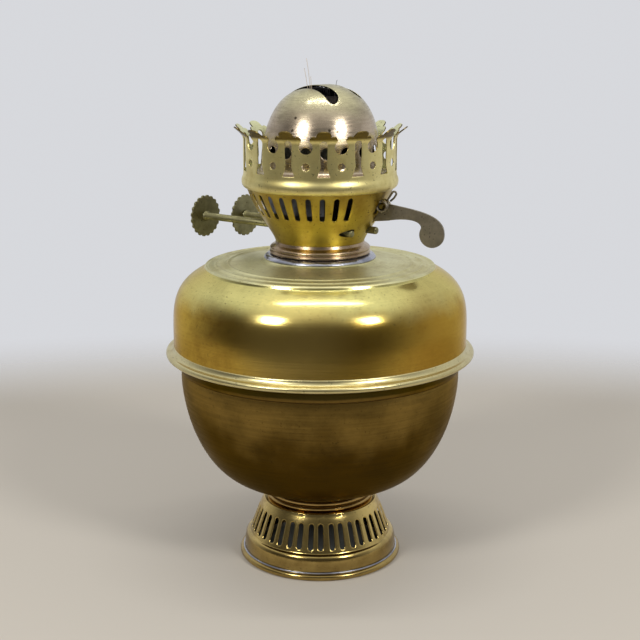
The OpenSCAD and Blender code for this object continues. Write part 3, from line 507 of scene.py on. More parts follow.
def stain(material, centre, inner, outer, colour, share=1):
    """Tints a finish round a point in millimetres, most inside one radius and not at all outside another."""
    tree = material.node_tree
    base = tree.nodes["Principled BSDF"].inputs["Base Color"]
    inputs = {0: node(tree, "ShaderNodeTexCoord").outputs["Object"], 1: Vector(centre) * 0.001}
    away = node(tree, "ShaderNodeVectorMath", inputs, operation="DISTANCE").outputs["Value"]
    amount = times(tree, band(tree, away, outer * 0.001, inner * 0.001), share)
    tree.links.new(tint(tree, amount, base.links[0].from_socket, (*colour, 1)), base)


# Above about 124 mm the font turns pale yellow-green: painted sheen where the shoulder curves over towards the bright
# ceiling.
font_brass = metal(
    "font_brass", (0.58, 0.385, 0.065), (0.20, 0.085, 0.012), (0.07, 0.05, 0.02), 28, 0.45, 0.22, 0.4, 0.13,
    above=((0.82, 0.74, 0.28), 0.119, 0.129),
)
font_brass.node_tree.nodes["Principled BSDF"].inputs["Specular Tint"].default_value = (0.85, 0.74, 0.55, 1)
stain(font_brass, (30, -58, 117), 8, 31, (0.95, 0.72, 0.22), 0.5)
stain(font_brass, (65, -6, 111), 4, 34, (0.34, 0.18, 0.02), 0.7)
# The shelf's pale colour is partly its own brass and partly painted sheen, brightening what it reflects.
shelf_brass_and_sheen = metal(
    "shelf_brass_and_sheen", (0.76, 0.73, 0.41), (0.50, 0.44, 0.21), (0.07, 0.05, 0.02), 60, 0.45, 0.3, 0.4, 0.36, bump=0.005
)
seam_brass = metal(
    "seam_brass", (0.68, 0.60, 0.31), (0.46, 0.37, 0.15), (0.07, 0.05, 0.02), 60, 0.4, 0.2, 0.4, 0.25, bump=0.004
)
# Under the seam's bead the bowl's dark bronze, darkest from about 92.6 mm up to the bead: painted shadow under the
# bead.
under_seam_shaded = metal(
    "under_seam_shaded", (0.19, 0.12, 0.03), (0.05, 0.032, 0.009), (0.02, 0.012, 0.006), 40, 0.4, 0.3, 0.3, 0.26, bump=0.004,
    above=((0.06, 0.045, 0.012), 0.0916, 0.0926),
)
under_seam_shaded.node_tree.nodes["Principled BSDF"].inputs["Specular Tint"].default_value = (0.7, 0.58, 0.42, 1)
font_r = 65.6
mouth_z = 140.2
mouth_r = 20.6
rim = (50.4, 136.0)
rings = 3
ring_pitch = 4.6
shelf_in = (mouth_r + 4.9, mouth_z - 1.6)
shelf_rise = (shelf_in[1] - rim[1]) / (rim[0] - shelf_in[0])


def shelf_z(r):
    """The shelf's height inside the rim, with its low raised rings."""
    from_ring = (rim[0] - r + ring_pitch / 2) % ring_pitch - ring_pitch / 2
    ring = 0.5 * math.exp(-((from_ring / 0.85) ** 2)) if r > rim[0] - (rings - 0.5) * ring_pitch else 0
    return rim[1] - 0.3 + (rim[0] - r) * shelf_rise + ring


shoulder = [(font_r, seam_z + 0.4), (font_r, seam_z + 2.5)] + curve(
    (font_r, seam_z + 5), (font_r, rim[1] - 18.3), (font_r + 1.2, rim[1] - 8.7), (rim[0] + 1.4, rim[1] - 1.6), 40
)
shoulder += curve((rim[0] + 1.2, rim[1] - 1.45), (rim[0] + 0.9, rim[1] - 1.0), (rim[0] + 0.8, shelf_z(rim[0]) - 0.1),
                  (rim[0] + 0.1, shelf_z(rim[0])), 6)
shelf = [rim[0] - 0.3 * i for i in range(1, 46)] + [35, 32, 29, 27]
shoulder += [(r, shelf_z(r)) for r in shelf]
shoulder += curve(shelf_in, (mouth_r + 4.2, mouth_z - 1.4), (mouth_r + 3.9, mouth_z - 0.1),
                  (mouth_r + 2.7, mouth_z), 6)
bm = spun(thick(shoulder + [(mouth_r, mouth_z)], font_wall), 192)
for face in bm.faces:
    if face.calc_center_median().z > rim[1] - 0.5:
        face.material_index = 1
dented(bm, 0.07, 18)
place(bm, "shoulder", "font", "font_brass", font_brass, ["font_shoulder"], inside=shelf_brass_and_sheen)

seam_r = 69.12
seam_bead = 1.3
bead_z = seam_z + 0.8
seam_outline = (
    [(bowl_r, seam_z + 0.4), (bowl_r, bowl_top + 0.1)]
    + curve((bowl_r + 0.5, bowl_top + 0.1), (bowl_r + 1.2, seam_z - 5), (seam_r - 3.4, bead_z - 2.6),
            (seam_r - 2.2, bead_z - 1.5), 8)
    + arc((seam_r - seam_bead, bead_z), seam_bead, -88, 92, 16)
    + curve((seam_r - seam_bead - 0.6, bead_z + 1.36), (font_r + 0.8, bead_z + 1.5), (font_r + 0.3, bead_z + 2.2),
            (font_r + 0.02, bead_z + 3.6), 8)
    + [(font_r - 0.4, bead_z + 3.6), (font_r - 0.4, seam_z + 0.4)]
)
bm = spun(seam_outline, 192)
for face in bm.faces:
    if face.calc_center_median().z < bead_z - seam_bead + 0.1:
        face.material_index = 1
dented(bm, 0.05, 14)
place(bm, "seam", "font", "font_brass", seam_brass, ["seam_ring"], inside=under_seam_shaded)

# Collar: a brass tube in the font's mouth with bayonet slots, and the grey fillet of solder that holds it.
# The solder was run round with an iron, so its surface is uneven.
dress(["font_collar"], copper_brass)
ring_r = 22.4
fillet = curve((ring_r + 2.5, mouth_z - 0.9), (ring_r + 1.9, mouth_z + 0.8), (ring_r + 0.6, mouth_z + 0.9),
               (mouth_r, mouth_z + 0.9), 10)
bm = spun([(mouth_r, mouth_z - 0.6), (ring_r + 1.6, mouth_z - 1.0)] + fillet, 192)
for v in bm.verts:
    from_edge = ring_r + 2.3 - math.hypot(v.co.x, v.co.y)
    if v.co.z > mouth_z - 0.9 and from_edge > 0:
        v.co.z += min(0.22, 0.3 * from_edge) * noise.noise(v.co / 3)
place(bm, "solder", "font", "solder", solder_grey, ["solder_ring"])

# Burner's ring: spun in reddish brass, with a rolled skirt that hides the collar and a sleeve with bayonet pins.
sleeve_r = 19.2
sleeve_bore = sleeve_r - 0.7
skirt_z = mouth_z + 1.2
collar_top = mouth_z + 4.6
bayonet_z = mouth_z - 0.6
body_foot = (19.6, 146.8)
ring_outline = (
    [(sleeve_bore, bayonet_z - 1.6), (sleeve_r, bayonet_z - 1.6), (sleeve_r, collar_top + 0.2)]
    + [(mouth_r + 0.5, collar_top + 0.2), (mouth_r + 0.5, skirt_z)]
    + arc((ring_r - 0.65, skirt_z + 0.65), 0.65, -90, 70, 8)
    + [(ring_r - 0.62, skirt_z + 1.5)]
    + curve((ring_r - 0.2, skirt_z + 2.0), (ring_r + 0.1, skirt_z + 3.0), (ring_r - 1.2, skirt_z + 3.6),
            (body_foot[0] + 0.4, body_foot[1] - 1.2), 9)
    + [body_foot, (sleeve_bore, body_foot[1])]
)
bm = spun(ring_outline)
for i in range(3):
    pin = bmesh.ops.create_cone(bm, cap_ends=True, segments=20, radius1=0.9, radius2=0.75, depth=1.7)["verts"]
    bmesh.ops.rotate(bm, verts=pin, cent=(0, 0, 0), matrix=Matrix.Rotation(math.radians(90), 3, "Y"))
    bmesh.ops.translate(bm, verts=pin, vec=(sleeve_r + 0.45, 0, bayonet_z))
    bmesh.ops.rotate(bm, verts=pin, cent=(0, 0, 0), matrix=Matrix.Rotation(math.radians(120 * i), 3, "Z"))
place(bm, "burner_ring", "burner", "copper_brass", copper_brass, ["burner_base_ring"], edge=0.08)

# Burner body: a golden spun basket with a row of air slots, holes for the spindles and a window for the lever.
# The slots were pressed from outside, and the spindle holes were pushed out and have torn a little.
burner_brass = metal(
    "burner_brass", (0.46, 0.34, 0.055), (0.27, 0.17, 0.025), (0.06, 0.035, 0.015), 90, 0.45, 0.15, 0.7, 0.27
)
body_top = (32.2, 170.3)
body_outline = curve(
    body_foot, (body_foot[0] + 1.1, body_foot[1] + 4.2), (body_top[0] - 4.6, body_foot[1] + 11.2), body_top, 14
)
body_wall = wall_of(body_outline)
slot_z = 163.8
slot_size = (2.2, 10.2)
slot_step = 11.2
slot_count = 25
slot_middle = -162.5
lever_bearing = 15
spindle_off = 6.7
spindle_z = 152.5
mean_r = 26.0
around = math.pi * mean_r


def on_body(bearing, x, z):
    """A point at a level distance from a bearing, in the flat drawing of the body's wall."""
    turn = (bearing + 180) % 360 - 180
    return math.radians(turn) * mean_r + x * mean_r / body_wall(z)[0], z


holes = []
for i in range(slot_count):
    bearing = slot_middle + (i - (slot_count - 1) / 2) * slot_step
    holes.append([on_body(bearing, x, z) for x, z in slot_outline(0, slot_z, *slot_size)])
window = [(-1.05, 155.7), (1.05, 155.7), (1.05, 166.2), (-1.05, 166.2)]
holes.append([on_body(lever_bearing, x, z) for x, z in window])
spring_window = [(-5.5, 160.5), (-1.9, 160.5), (-1.9, 166.7), (-5.5, 166.7)]
holes.append([on_body(lever_bearing, x, z) for x, z in spring_window])
for side in (-1, 1):
    for end in (-1, 1):
        torn = (1.9 if side < 0 else 0.6) if end > 0 else 0
        hole = []
        for y, z in arc((0, spindle_z), 1.72, 0, 345, 23):
            stretch = 1 + torn * max(0, -y) / 1.72
            reach = side * spindle_off + y * stretch
            bearing = math.degrees(math.asin(reach / body_wall(z)[0]))
            hole.append(on_body(bearing if end > 0 else 180 - bearing, 0, z))
        holes.append(hole if end > 0 else hole[::-1])
foot_z, rim_z = body_foot[1] + 0.01, body_top[1]
bm = sheet([(-around, foot_z), (around, foot_z), (around, rim_z), (-around, rim_z)], holes, 0.3)
cut(bm, [around * i / 60 for i in range(-59, 60)], [z for r, z in body_outline[1:-1]])
wrap(bm, body_wall, 1 / mean_r)
bmesh.ops.remove_doubles(bm, verts=bm.verts[:], dist=0.004)
face_out(bm, 160)
place(bm, "body_shell", "burner", "burner_brass", burner_brass, ["burner_body"], wall=0.35, edge=0.06)

# Inside the burner: base plate, wick tubes, draught cup and the snuffer's sleeves, all of grey tinned sheet.
# They are folded and soldered, and stained by lamp oil and soot.
tinned = metal(
    "tinned", (0.36, 0.38, 0.42), (0.17, 0.17, 0.19), (0.05, 0.045, 0.04), 120, 0.5, 0.15, 0.6, 0.34
)
inner_sheet = ["base_plate", "wick_tube_front", "wick_tube_rear", "draught_cup"]
dress(inner_sheet + ["snuffer_yoke"], tinned)
sooty = metal("sooty", (0.13, 0.11, 0.09), (0.06, 0.05, 0.045), (0.02, 0.018, 0.015), 200, 0.5, 0.15, 0.6, 0.6)
dress(["snuffer_sleeve_front", "snuffer_sleeve_rear", "flap_front", "flap_rear"], sooty)
dress(["lever_bracket", "lever_pivot_pin", "flap_pin_front", "flap_pin_rear"], burner_brass)

# Winders: a brass spindle for each wick, with a scalloped thumb wheel riveted on its end and four spur wheels.
# The wheels were blanked from sheet, and have gone a flat olive brown.
wheel_brass = metal(
    "wheel_brass", (0.32, 0.30, 0.16), (0.20, 0.18, 0.09), (0.04, 0.03, 0.015), 170, 0.5, 0.1, 0.8, 0.42
)
dress(["spur_wheels_front", "spur_wheels_rear"], wheel_brass)


def plate(outline, thickness, holes=()):
    """A flat plate cut to an outline, with its back in the drawing plane."""
    bm = bmesh.new()
    for points in (outline, *holes):
        ring_of(bm, points)
    bmesh.ops.triangle_fill(bm, use_beauty=True, use_dissolve=False, edges=bm.edges[:])
    raised = bmesh.ops.extrude_face_region(bm, geom=bm.faces[:])["geom"]
    raised = [g for g in raised if isinstance(g, bmesh.types.BMVert)]
    bmesh.ops.translate(bm, verts=raised, vec=(0, thickness, 0))
    bmesh.ops.recalc_face_normals(bm, faces=bm.faces[:])
    return bm


def turned(bm, degrees, axis):
    """Turns a drawing about one of its axes."""
    matrix = Matrix.Rotation(math.radians(degrees), 3, axis)
    bmesh.ops.rotate(bm, verts=bm.verts[:], cent=(0, 0, 0), matrix=matrix)
    return bm


def moved(bm, offset):
    """Moves a drawing."""
    bmesh.ops.translate(bm, verts=bm.verts[:], vec=offset)
    return bm


spindle_r = 1.6
wheel_t = 0.9
scallops = 20
wheel_outline = []
for i in range(scallops):
    turn = 360 * i / scallops
    centre = arc((0, 0), 10.25, turn, turn, 1)[0]
    wheel_outline += arc(centre, 1.1, turn + 237, turn + 123, 6)
for end, side, start, stop in (("front", -1, -63.4, 22.8), ("rear", 1, -50.4, 26.1)):
    rod = [(0, start), (1.9, start)] + arc((2.1, start + 0.3), 0.2, -90, 0, 2) + [(2.3, start + 0.5)]
    rod += [(2.3, start + 2.3), (spindle_r, start + 2.5)]
    rod += arc((spindle_r - 0.7, stop - 0.7), 0.7, 0, 90, 4) + [(0, stop)]
    at = (0, side * spindle_off, spindle_z)
    name = "spindle_" + end
    place(moved(turned(spun(rod, 28), 90, "Y"), at), name, "winder_" + end, "wheel_brass", wheel_brass, [name])
    wheel = moved(turned(plate(wheel_outline, wheel_t), -90, "Z"), (start + 0.5, *at[1:]))
    name = "thumb_wheel_" + end
    place(wheel, name, "winder_" + end, "wheel_brass", wheel_brass, [name], edge=0.16)

# Wicks: flat strips of woven cotton, soaked brown, and charred and frayed at the top.
# A few long threads have pulled loose from the front one and stand up through its flame slot.
wick_cotton = metal(
    "wick_cotton", (0.36, 0.32, 0.25), (0.22, 0.19, 0.15), (0.03, 0.03, 0.03), 300, 0.5, 0.2, 0.8, 0.9,
    above=((0.15, 0.125, 0.115), 0.2045, 0.2066),
)
pale_thread = metal(
    "pale_thread", (0.58, 0.47, 0.34), (0.42, 0.33, 0.22), (0.2, 0.18, 0.15), 300, 0.4, 0.2, 0.2, 0.8
)
charred = metal(
    "charred", (0.018, 0.016, 0.015), (0.012, 0.011, 0.011), (0.01, 0.01, 0.01), 300, 0.4, 0.2, 0.2, 0.95
)
for material in (wick_cotton, pale_thread, charred):
    material.node_tree.nodes["Principled BSDF"].inputs["Metallic"].default_value = 0
wick_w, wick_t = 23.6, 2.0
wick_lean = 4.37
tube_top = (7.2, 205.5)
wick_stand = 1.3
wick_foot = 62


def wire(points, radius, sides=8):
    """A round wire along a path of points."""
    bm = bmesh.new()
    loops = []
    for i, point in enumerate(points):
        along = Vector(points[min(i + 1, len(points) - 1)]) - Vector(points[max(i - 1, 0)])
        stand = Matrix.Translation(point) @ along.to_track_quat("Z", "Y").to_matrix().to_4x4()
        ends = i in (0, len(points) - 1)
        made = bmesh.ops.create_circle(bm, cap_ends=ends, segments=sides, radius=radius, matrix=stand)["verts"]
        loops.append(list({e for v in made for e in v.link_edges}))
    for before, after in zip(loops, loops[1:]):
        bmesh.ops.bridge_loops(bm, edges=before + after)
    bmesh.ops.recalc_face_normals(bm, faces=bm.faces[:])
    return bm


dice = random.Random(4)
for end, side in (("front", -1), ("rear", 1)):
    bm = bmesh.new()
    columns = 48
    across = [wick_w * (i / columns - 0.5) for i in range(columns + 1)]
    foot = [bm.verts.new((x, -wick_t / 2, wick_foot - tube_top[1])) for x in across]
    edges = [bm.edges.new(pair) for pair in zip(foot, foot[1:])]
    for level in [-60, -20, -4] + [-3 + 0.43 * i for i in range(11)]:
        verts, edges = onward(bm, edges)
        for v in verts:
            v.co.z = level
            if level > -3.2:
                v.co.y += 0.1 * noise.noise(Vector((v.co.x * 2.3, side * 9, level * 2.3)))
            if level > 1.2:
                v.co.z += 0.5 * noise.noise(Vector((v.co.x * 1.7, side * 5, 0)))
    back = bmesh.ops.extrude_face_region(bm, geom=bm.faces[:])["geom"]
    bmesh.ops.translate(bm, verts=[g for g in back if isinstance(g, bmesh.types.BMVert)], vec=(0, wick_t, 0))
    bmesh.ops.recalc_face_normals(bm, faces=bm.faces[:])
    for i in range(130):
        roll = [dice.random() for k in range(5)]
        length = 0.9 + 0.9 * roll[0]
        lean = Matrix.Rotation(0.9 * (roll[1] - 0.5), 4, "X") @ Matrix.Rotation(1.2 * (roll[2] - 0.5), 4, "Y")
        foot = Matrix.Translation((wick_w * 0.97 * (roll[3] - 0.5), wick_t * 0.8 * (roll[4] - 0.5), wick_stand - 0.2))
        stand = foot @ lean @ Matrix.Translation((0, 0, length / 2))
        bmesh.ops.create_cone(bm, cap_ends=True, segments=4, radius1=0.17, radius2=0.05, depth=length, matrix=stand)
    moved(turned(bm, side * wick_lean, "X"), (0, side * tube_top[0], tube_top[1]))
    place(bm, "wick_" + end, end + "_wick", "wick_cotton", wick_cotton, ["wick_" + end])
bm = bmesh.new()
for i in range(200):
    roll = [dice.random() for k in range(4)]
    length = 5.9 + 0.9 * roll[0]
    foot = Matrix.Translation((wick_w * (0.46 * roll[1] - 0.485), wick_t * 0.8 * (roll[2] - 0.5), wick_stand - 0.2))
    stand = foot @ Matrix.Rotation(0.3 * (roll[3] - 0.3), 4, "X") @ Matrix.Translation((0, 0, length / 2))
    bmesh.ops.create_cone(bm, cap_ends=True, segments=4, radius1=0.17, radius2=0.15, depth=length, matrix=stand)
moved(turned(bm, wick_lean, "X"), (0, *tube_top))
place(bm, "wick_fringe", "rear_wick", "wick_cotton", charred)
threads = (
    [(0.6, -7.2, 206), (0.3, -7.0, 212), (-0.6, -6.8, 219), (-2.4, -6.4, 225.5)],
    [(-0.4, -7.2, 206), (-0.7, -7.1, 211), (-1.2, -7.4, 216), (-2.6, -7.6, 221.5)],
    [(1.4, -7.0, 206), (1.2, -6.6, 210), (0.2, -6.2, 214), (-0.2, -6.2, 218)],
    [(2.4, 7.0, 206), (3.0, 6.8, 210), (3.2, 6.6, 213.5), (4.4, 6.4, 216.2)],
)
for i, (a, b, c, d) in enumerate(threads):
    sides = curve((a[0], a[2]), (b[0], b[2]), (c[0], c[2]), (d[0], d[2]), 12)
    path = [(x, a[1] + (d[1] - a[1]) * k / 12, z) for k, (x, z) in enumerate(sides)]
    rides_on, fibre = ("front_wick", pale_thread) if a[1] < 0 else ("rear_wick", wick_cotton)
    place(wire(path, 0.1, 5), f"thread_{i + 1}", rides_on, "wick_cotton", fibre)

# Lever: a flat steel plate gone brown, pivoted between the ears, whose inner end lifts the snuffer.
# Its lobe is pressed with a finger, and a steel wire spring on the pivot pin brings it back.
lever_steel = metal(
    "lever_steel", (0.32, 0.28, 0.21), (0.18, 0.155, 0.11), (0.05, 0.04, 0.03), 110, 0.5, 0.1, 0.7, 0.44
)
pivot = (30.4, 163.8)
lobe = (51.7, 152.1)
lobe_r = 5.5
lever_t = 1.3
lever_outline = (
    [(-1.2, 165.0), (-1.2, 162.0), (18, 160.8), (26.0, 156.6)]
    + curve((31.9, 157.2), (38.4, 158.6), (lobe[0] - 6, lobe[1] + 6.6), (lobe[0] - 4.8, lobe[1] + 3.4), 12)
    + arc(lobe, lobe_r, 150, 360, 24)
    + curve((lobe[0] + lobe_r, lobe[1] + 0.6), (lobe[0] + lobe_r, lobe[1] + 9.5), (43.4, 162.4), (32.6, 164.4), 18)
    + [(31.2, 165.6), (29.2, 165.4)]
)
bm = moved(plate(lever_outline, lever_t, [arc(pivot, 0.8, 0, 345, 23)]), (0, -lever_t / 2, 0))
place(turned(bm, lever_bearing, "Z"), "lever", "lever", "lever_steel", lever_steel, ["extinguisher_lever"], edge=0.2)

loop_foot = Vector((33.0, 166.0))
loop_up, loop_across = Vector((0.53, 0.848)), Vector((0.848, -0.53))
loop_n, coil_n = 1.45, 2.55
loop_half, loop_length = 0.95, 3.7
path = [(loop_foot + loop_across * 0.3, loop_n), (loop_foot + loop_across * loop_half + loop_up * 2.2, loop_n)]
for across, rise in arc((0, loop_length), loop_half, 0, 180, 10):
    path.append((loop_foot + loop_across * across + loop_up * rise, loop_n))
path.append((loop_foot - loop_across * loop_half + loop_up * 1.5, loop_n))
path.append((loop_foot - loop_across * loop_half, loop_n + 0.2))
for i in range(62):
    turn = math.radians(-5 - 16 * i)
    spot = Vector(pivot) + Vector((math.cos(turn), math.sin(turn))) * 2.1
    path.append((spot, coil_n + i * 16 / 360))
bm = wire([(spot.x, -n, spot.y) for spot, n in path], 0.45)
place(turned(bm, lever_bearing, "Z"), "spring", "burner", "lever_steel", lever_steel, ["lever_spring"])

# Gallery: a brass crown pierced with keyholes and round holes, on a beaded ring that drops into the burner body.
# The crown was pierced flat, bent round and flared, and its tips have been bent a little in use.
# Above 192.5 mm the crown turns dark brown: painted shade on the flared tips.
gallery_brass = metal(
    "gallery_brass", (0.85, 0.74, 0.32), (0.59, 0.48, 0.17), (0.07, 0.05, 0.02), 90, 0.42, 0.2, 0.5, 0.34,
    above=((0.17, 0.12, 0.035), 0.1925, 0.194),
)
# Pale green-white for the crown's inner faces and the gallery plate: painted light falling in from above.
crown_inside_lit = metal(
    "crown_inside_lit", (0.80, 0.80, 0.48), (0.58, 0.56, 0.32), (0.07, 0.05, 0.02), 90, 0.42, 0.2, 0.5, 0.4
)
dress(["gallery_plate"], crown_inside_lit)
gallery_r = 33.5
tips = 14
crown_foot = 177.2
pitch = 2 * math.pi * gallery_r / tips
left, right = -pitch / 4, pitch * 3 / 4
lobes = [(3.7, 194.7), (3.15, 194.45), (2.95, 195.0), (2.75, 195.9), (2.2, 196.6), (1.2, 196.95)]
corner = [(5.75, 193.5), (5.3, 194.3), (4.5, 194.75)]
big_hole = arc((pitch / 2, 190.5), 2.95, 51.6, -231.6, 26)
tip_edge = [(left, crown_foot), (right, crown_foot), (right, 194.7)]
tip_edge += [(pitch - s, z) for s, z in corner[::-1]] + big_hole + corner + lobes
tip_edge += [(0, 197)] + [(-s, z) for s, z in lobes[::-1][:-1]] + [(left, 194.7)]
keyhole = [(-2.7, 178.2), (2.7, 178.2), (2.0, 180.2), (1.25, 182.5), (1.6, 187.2)]
keyhole += arc((0, 191.5), 1.6, 0, 180, 10) + [(-1.6, 187.2), (-1.25, 182.5), (-2.0, 180.2)]
small_hole = arc((pitch / 2, 182.4), 1.65, 0, 340, 17)
bm = sheet(tip_edge, [keyhole, small_hole], 0.15)
crown_columns = [left + pitch * i / 12 for i in range(1, 12)]
crown_rows = [180, 183, 186, 188.5] + [190.4 + 0.6 * i for i in range(11)]
cut(bm, crown_columns, crown_rows)
crown_outline = [(gallery_r, crown_foot), (gallery_r, 190.4)]
crown_outline += curve((gallery_r, 191.4), (gallery_r + 0.2, 193.8), (gallery_r + 2.2, 194.8), (37.9, 197), 10)
wrap(bm, wall_of(crown_outline), 1 / gallery_r)
turned(bm, -49.8, "Z")
repeat_round(bm, tips)
for v in bm.verts:
    if v.co.z > 193.5:
        tip = round((math.degrees(math.atan2(v.co.y, v.co.x)) + 49.8) / 360 * tips)
        bend = 0.16 * (v.co.z - 193.5) * noise.noise(Vector((tip % tips * 1.7, 0.3, 0.6))) * 2
        reach = 1 + bend / math.hypot(v.co.x, v.co.y)
        v.co = (v.co.x * reach, v.co.y * reach, v.co.z - 0.5 * abs(bend))
bead = [(gallery_r + 0.03, 176.7)]
bead += curve((33.7, 175.7), (34.8, 173.7), (34.4, 171.3), (33.0, 170.6), 12) + [(32.5, 170.34)]
carry(bm, rim_at(bm, crown_foot), bead + [(30.75, 170.34), (30.6, 170.2), (30.6, 168.9)])
face_out(bm, 183)
place(
    bm, "crown", "gallery", "gallery_brass", gallery_brass, ["gallery_crown"], wall=0.5, edge=0.1,
    inside=crown_inside_lit,
)

# Dome: a pale brass hood with two flame slots and a ring of air holes, brushed round and a little heat-stained.
# Its wall is drawn flat as a disc, measured along the metal from the top, and then bent down into the hood.
dome_brass = metal(
    "dome_brass", (0.60, 0.49, 0.36), (0.39, 0.31, 0.22), (0.16, 0.13, 0.09), 70, 0.45, 0.8, 0.3, 0.16,
    above=((0.68, 0.62, 0.37), 0.197, 0.211),
)
for pit in ((3.1, -20.8, 201.4), (3, -22.9, 196.4), (17, -15.6, 196.5), (19.3, -13, 196), (19.7, -11.8, 196.8)):
    stain(dome_brass, pit, 0.4, 0.8, (0.09, 0.07, 0.045))
dome_outline = curve((0, 214.4), (20, 214.4), (26, 195.9), (26, 174.9), 60)
dome_reach = [0.0]
for (r0, z0), (r1, z1) in zip(dome_outline, dome_outline[1:]):
    dome_reach.append(dome_reach[-1] + math.hypot(r1 - r0, z1 - z0))


def along_dome(value, column):
    """The distance from the top along the dome's wall at a radius (column 0) or a height (column 1)."""
    for i in range(60):
        a, b = dome_outline[i][column], dome_outline[i + 1][column]
        if min(a, b) <= value <= max(a, b):
            return dome_reach[i] + (dome_reach[i + 1] - dome_reach[i]) * (value - a) / (b - a)


def on_dome(reach):
    """The radius and height on the dome at a distance from its top, and the way out of the metal there."""
    for i in range(60):
        if reach <= dome_reach[i + 1] or i == 59:
            share = (reach - dome_reach[i]) / (dome_reach[i + 1] - dome_reach[i])
            start, way = Vector(dome_outline[i]), Vector(dome_outline[i + 1]) - Vector(dome_outline[i])
            return start + way * share, Vector((-way.y, way.x)).normalized()


flame_half, flame_reach = 3.0, 12.0
steps = [flame_reach * (i / 8 - 1) for i in range(1, 16)]
flame_slot = arc((0, flame_reach), flame_half, 0, 180, 10) + [(-flame_half, -step) for step in steps]
flame_slot += arc((0, -flame_reach), flame_half, 180, 360, 10) + [(flame_half, step) for step in steps]
flame_slots = []
for side in (-1, 1):
    outline = []
    for across, along in flame_slot:
        middle = -math.hypot(5.5, 0.41 * along) if side < 0 else 7.2
        x, y = -along, across * (1 if side < 0 else 0.93) + middle
        reach = along_dome(math.hypot(x, y), 0) / math.hypot(x, y)
        outline.append((x * reach, y * reach))
    flame_slots.append(outline)
air_holes = []
for i in range(18):
    bearing = math.radians(-46.4 + 20 * i)
    outline = []
    for s, z in arc((0, 187), 2.4, 0, 340, 17):
        reach = along_dome(z, 1)
        turn = bearing + s / on_dome(reach)[0].x
        outline.append((reach * math.cos(turn), reach * math.sin(turn)))
    air_holes.append(outline)
flare_z = 180.6
bm = sheet(arc((0, 0), along_dome(flare_z, 1), 0, 357.5, 143), flame_slots + air_holes, 0.2)
lines = [1.4 * i for i in range(-29, 30)]
cut(bm, lines, lines)
for v in bm.verts:
    reach = math.hypot(v.co.x, v.co.z)
    spot, out = on_dome(reach)
    level = Vector((v.co.x, v.co.z)) / max(reach, 1e-6)
    swell = 1.7 * max(0, level.dot(Vector((0.79, 0.61)))) ** 1.5 * math.sin(math.pi * min(1, reach / 46))
    spot += out * (v.co.y + swell)
    v.co = (level.x * spot.x, level.y * spot.x, spot.y)
flare = curve((26.0, flare_z), (26.1, 178.9), (27.3, 178.0), (29.6, 177.6), 8)[1:]
carry(bm, [e for e in bm.edges if e.is_boundary and min(v.co.z for v in e.verts) < flare_z + 0.1], flare)
face_out(bm, 190)
place(bm, "dome", "gallery", "dome_brass", dome_brass, ["dome"], wall=0.5, inside=painted_shade_inside)

# Table and light: a plain pale floor with a painted shadow under the foot, two soft lamps on either side of the
# camera and a pale room.
floor_reach = 0.9
bm = bmesh.new()
bmesh.ops.create_circle(bm, cap_ends=True, segments=96, radius=floor_reach)
floor_mesh = bpy.data.meshes.new("floor")
bm.to_mesh(floor_mesh)
bm.free()
floor = bpy.data.objects.new("floor", floor_mesh)
bpy.context.scene.collection.objects.link(floor)
pale = bpy.data.materials.new("pale_floor")
pale.use_nodes = True
tree = pale.node_tree
surface = tree.nodes["Principled BSDF"]
surface.inputs["Roughness"].default_value = 0.8
spot = node(tree, "ShaderNodeTexCoord").outputs["Object"]
from_middle = node(tree, "ShaderNodeVectorMath", {0: spot}, operation="LENGTH").outputs["Value"]
# A dark disc within the foot's ring: painted shadow under the foot, seen through the foot's slots.
painted_shadow_under_foot = band(tree, from_middle, 0.036, 0.030)
shade = tint(tree, painted_shadow_under_foot, (0.60, 0.55, 0.47, 1), (0.13, 0.13, 0.115, 1))
tree.links.new(shade, surface.inputs["Base Color"])
across = node(tree, "ShaderNodeVectorMath", {0: spot, 1: (0.475, 0.366, 0)}, operation="DOT_PRODUCT").outputs["Value"]
along = node(tree, "ShaderNodeVectorMath", {0: spot, 1: (0.61, -0.792, 0)}, operation="DOT_PRODUCT").outputs["Value"]
distance = node(tree, "ShaderNodeCombineXYZ", {0: across, 1: along}).outputs[0]
distance = node(tree, "ShaderNodeVectorMath", {0: distance}, operation="LENGTH").outputs["Value"]
fade = band(tree, distance, 0.24, 0.43)
clear = node(tree, "ShaderNodeBsdfTransparent").outputs[0]
mixed = node(tree, "ShaderNodeMixShader", {0: fade, 1: surface.outputs[0], 2: clear}).outputs[0]
tree.links.new(mixed, tree.nodes["Material Output"].inputs["Surface"])
floor_mesh.materials.append(pale)

camera_turn = 37.6
camera_pitch = 13.44
target_z = 0.11


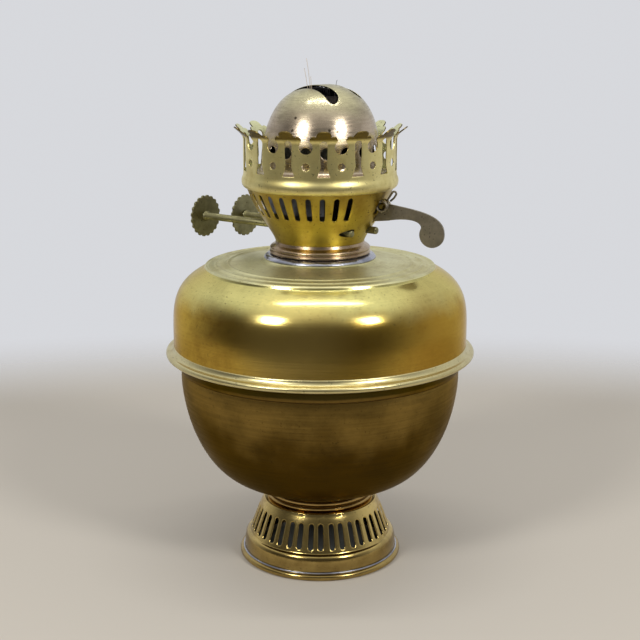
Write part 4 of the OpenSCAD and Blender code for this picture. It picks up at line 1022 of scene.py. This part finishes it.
def lamp(name, turn, rise, distance, width, height, watts):
    """A soft lamp that faces the lamp's middle from a bearing beside the camera."""
    light = bpy.data.lights.new(name, "AREA")
    light.shape = "RECTANGLE"
    light.size, light.size_y = width, height
    light.energy = watts
    holder = bpy.data.objects.new(name, light)
    a, e = math.radians(camera_turn + turn), math.radians(rise)
    back = Vector((math.sin(a) * math.cos(e), -math.cos(a) * math.cos(e), math.sin(e)))
    holder.location = Vector((0, 0, target_z)) + back * distance
    holder.rotation_euler = (-back).to_track_quat("-Z", "Y").to_euler()
    bpy.context.scene.collection.objects.link(holder)


lamp("left_lamp", -40, 34, 1.2, 0.24, 0.27, 5.2)
lamp("right_lamp", 42, 33, 1.2, 0.24, 0.27, 5.2)
lamp("top_lamp", 0, 88, 1.1, 0.75, 0.07, 2)

world = bpy.data.worlds.new("room")
bpy.context.scene.world = world
world.use_nodes = True
tree = world.node_tree
rays = node(tree, "ShaderNodeLightPath").outputs
seen = node(tree, "ShaderNodeMath", {0: rays["Is Camera Ray"], 1: rays["Is Glossy Ray"]}, operation="MAXIMUM").outputs[0]
seen = node(tree, "ShaderNodeMath", {0: seen, 1: rays["Is Transmission Ray"]}, operation="MAXIMUM").outputs[0]
way = node(tree, "ShaderNodeTexCoord").outputs["Generated"]
turn = math.radians(camera_turn - 14)
to_front = (math.sin(turn), -math.cos(turn), 0)
facing = node(tree, "ShaderNodeVectorMath", {0: way, 1: to_front}, operation="DOT_PRODUCT").outputs["Value"]
height = node(tree, "ShaderNodeSeparateXYZ", {0: way}).outputs["Z"]
room = tint(tree, band(tree, facing, -0.55, 0.6), (0.66, 0.67, 0.70, 1), (0.085, 0.08, 0.075, 1))
room = tint(tree, band(tree, height, 0.4, 1.03), room, (0.95, 0.96, 0.95, 1))
wall = tint(tree, rays["Is Camera Ray"], room, (0.68, 0.69, 0.72, 1))
background = tree.nodes["Background"]
tree.links.new(tint(tree, seen, (0.42, 0.42, 0.43, 1), wall), background.inputs["Color"])

camera = bpy.data.cameras.new("camera")
camera.lens = 70
camera.sensor_width = 36
eye = bpy.data.objects.new("camera", camera)
eye.location = (0.33234, -0.43156, 0.2403)
eye.rotation_euler = (math.radians(90 - camera_pitch), 0, math.radians(camera_turn))
bpy.context.scene.collection.objects.link(eye)
bpy.context.scene.camera = eye
bpy.context.scene.view_settings.view_transform = "Standard"
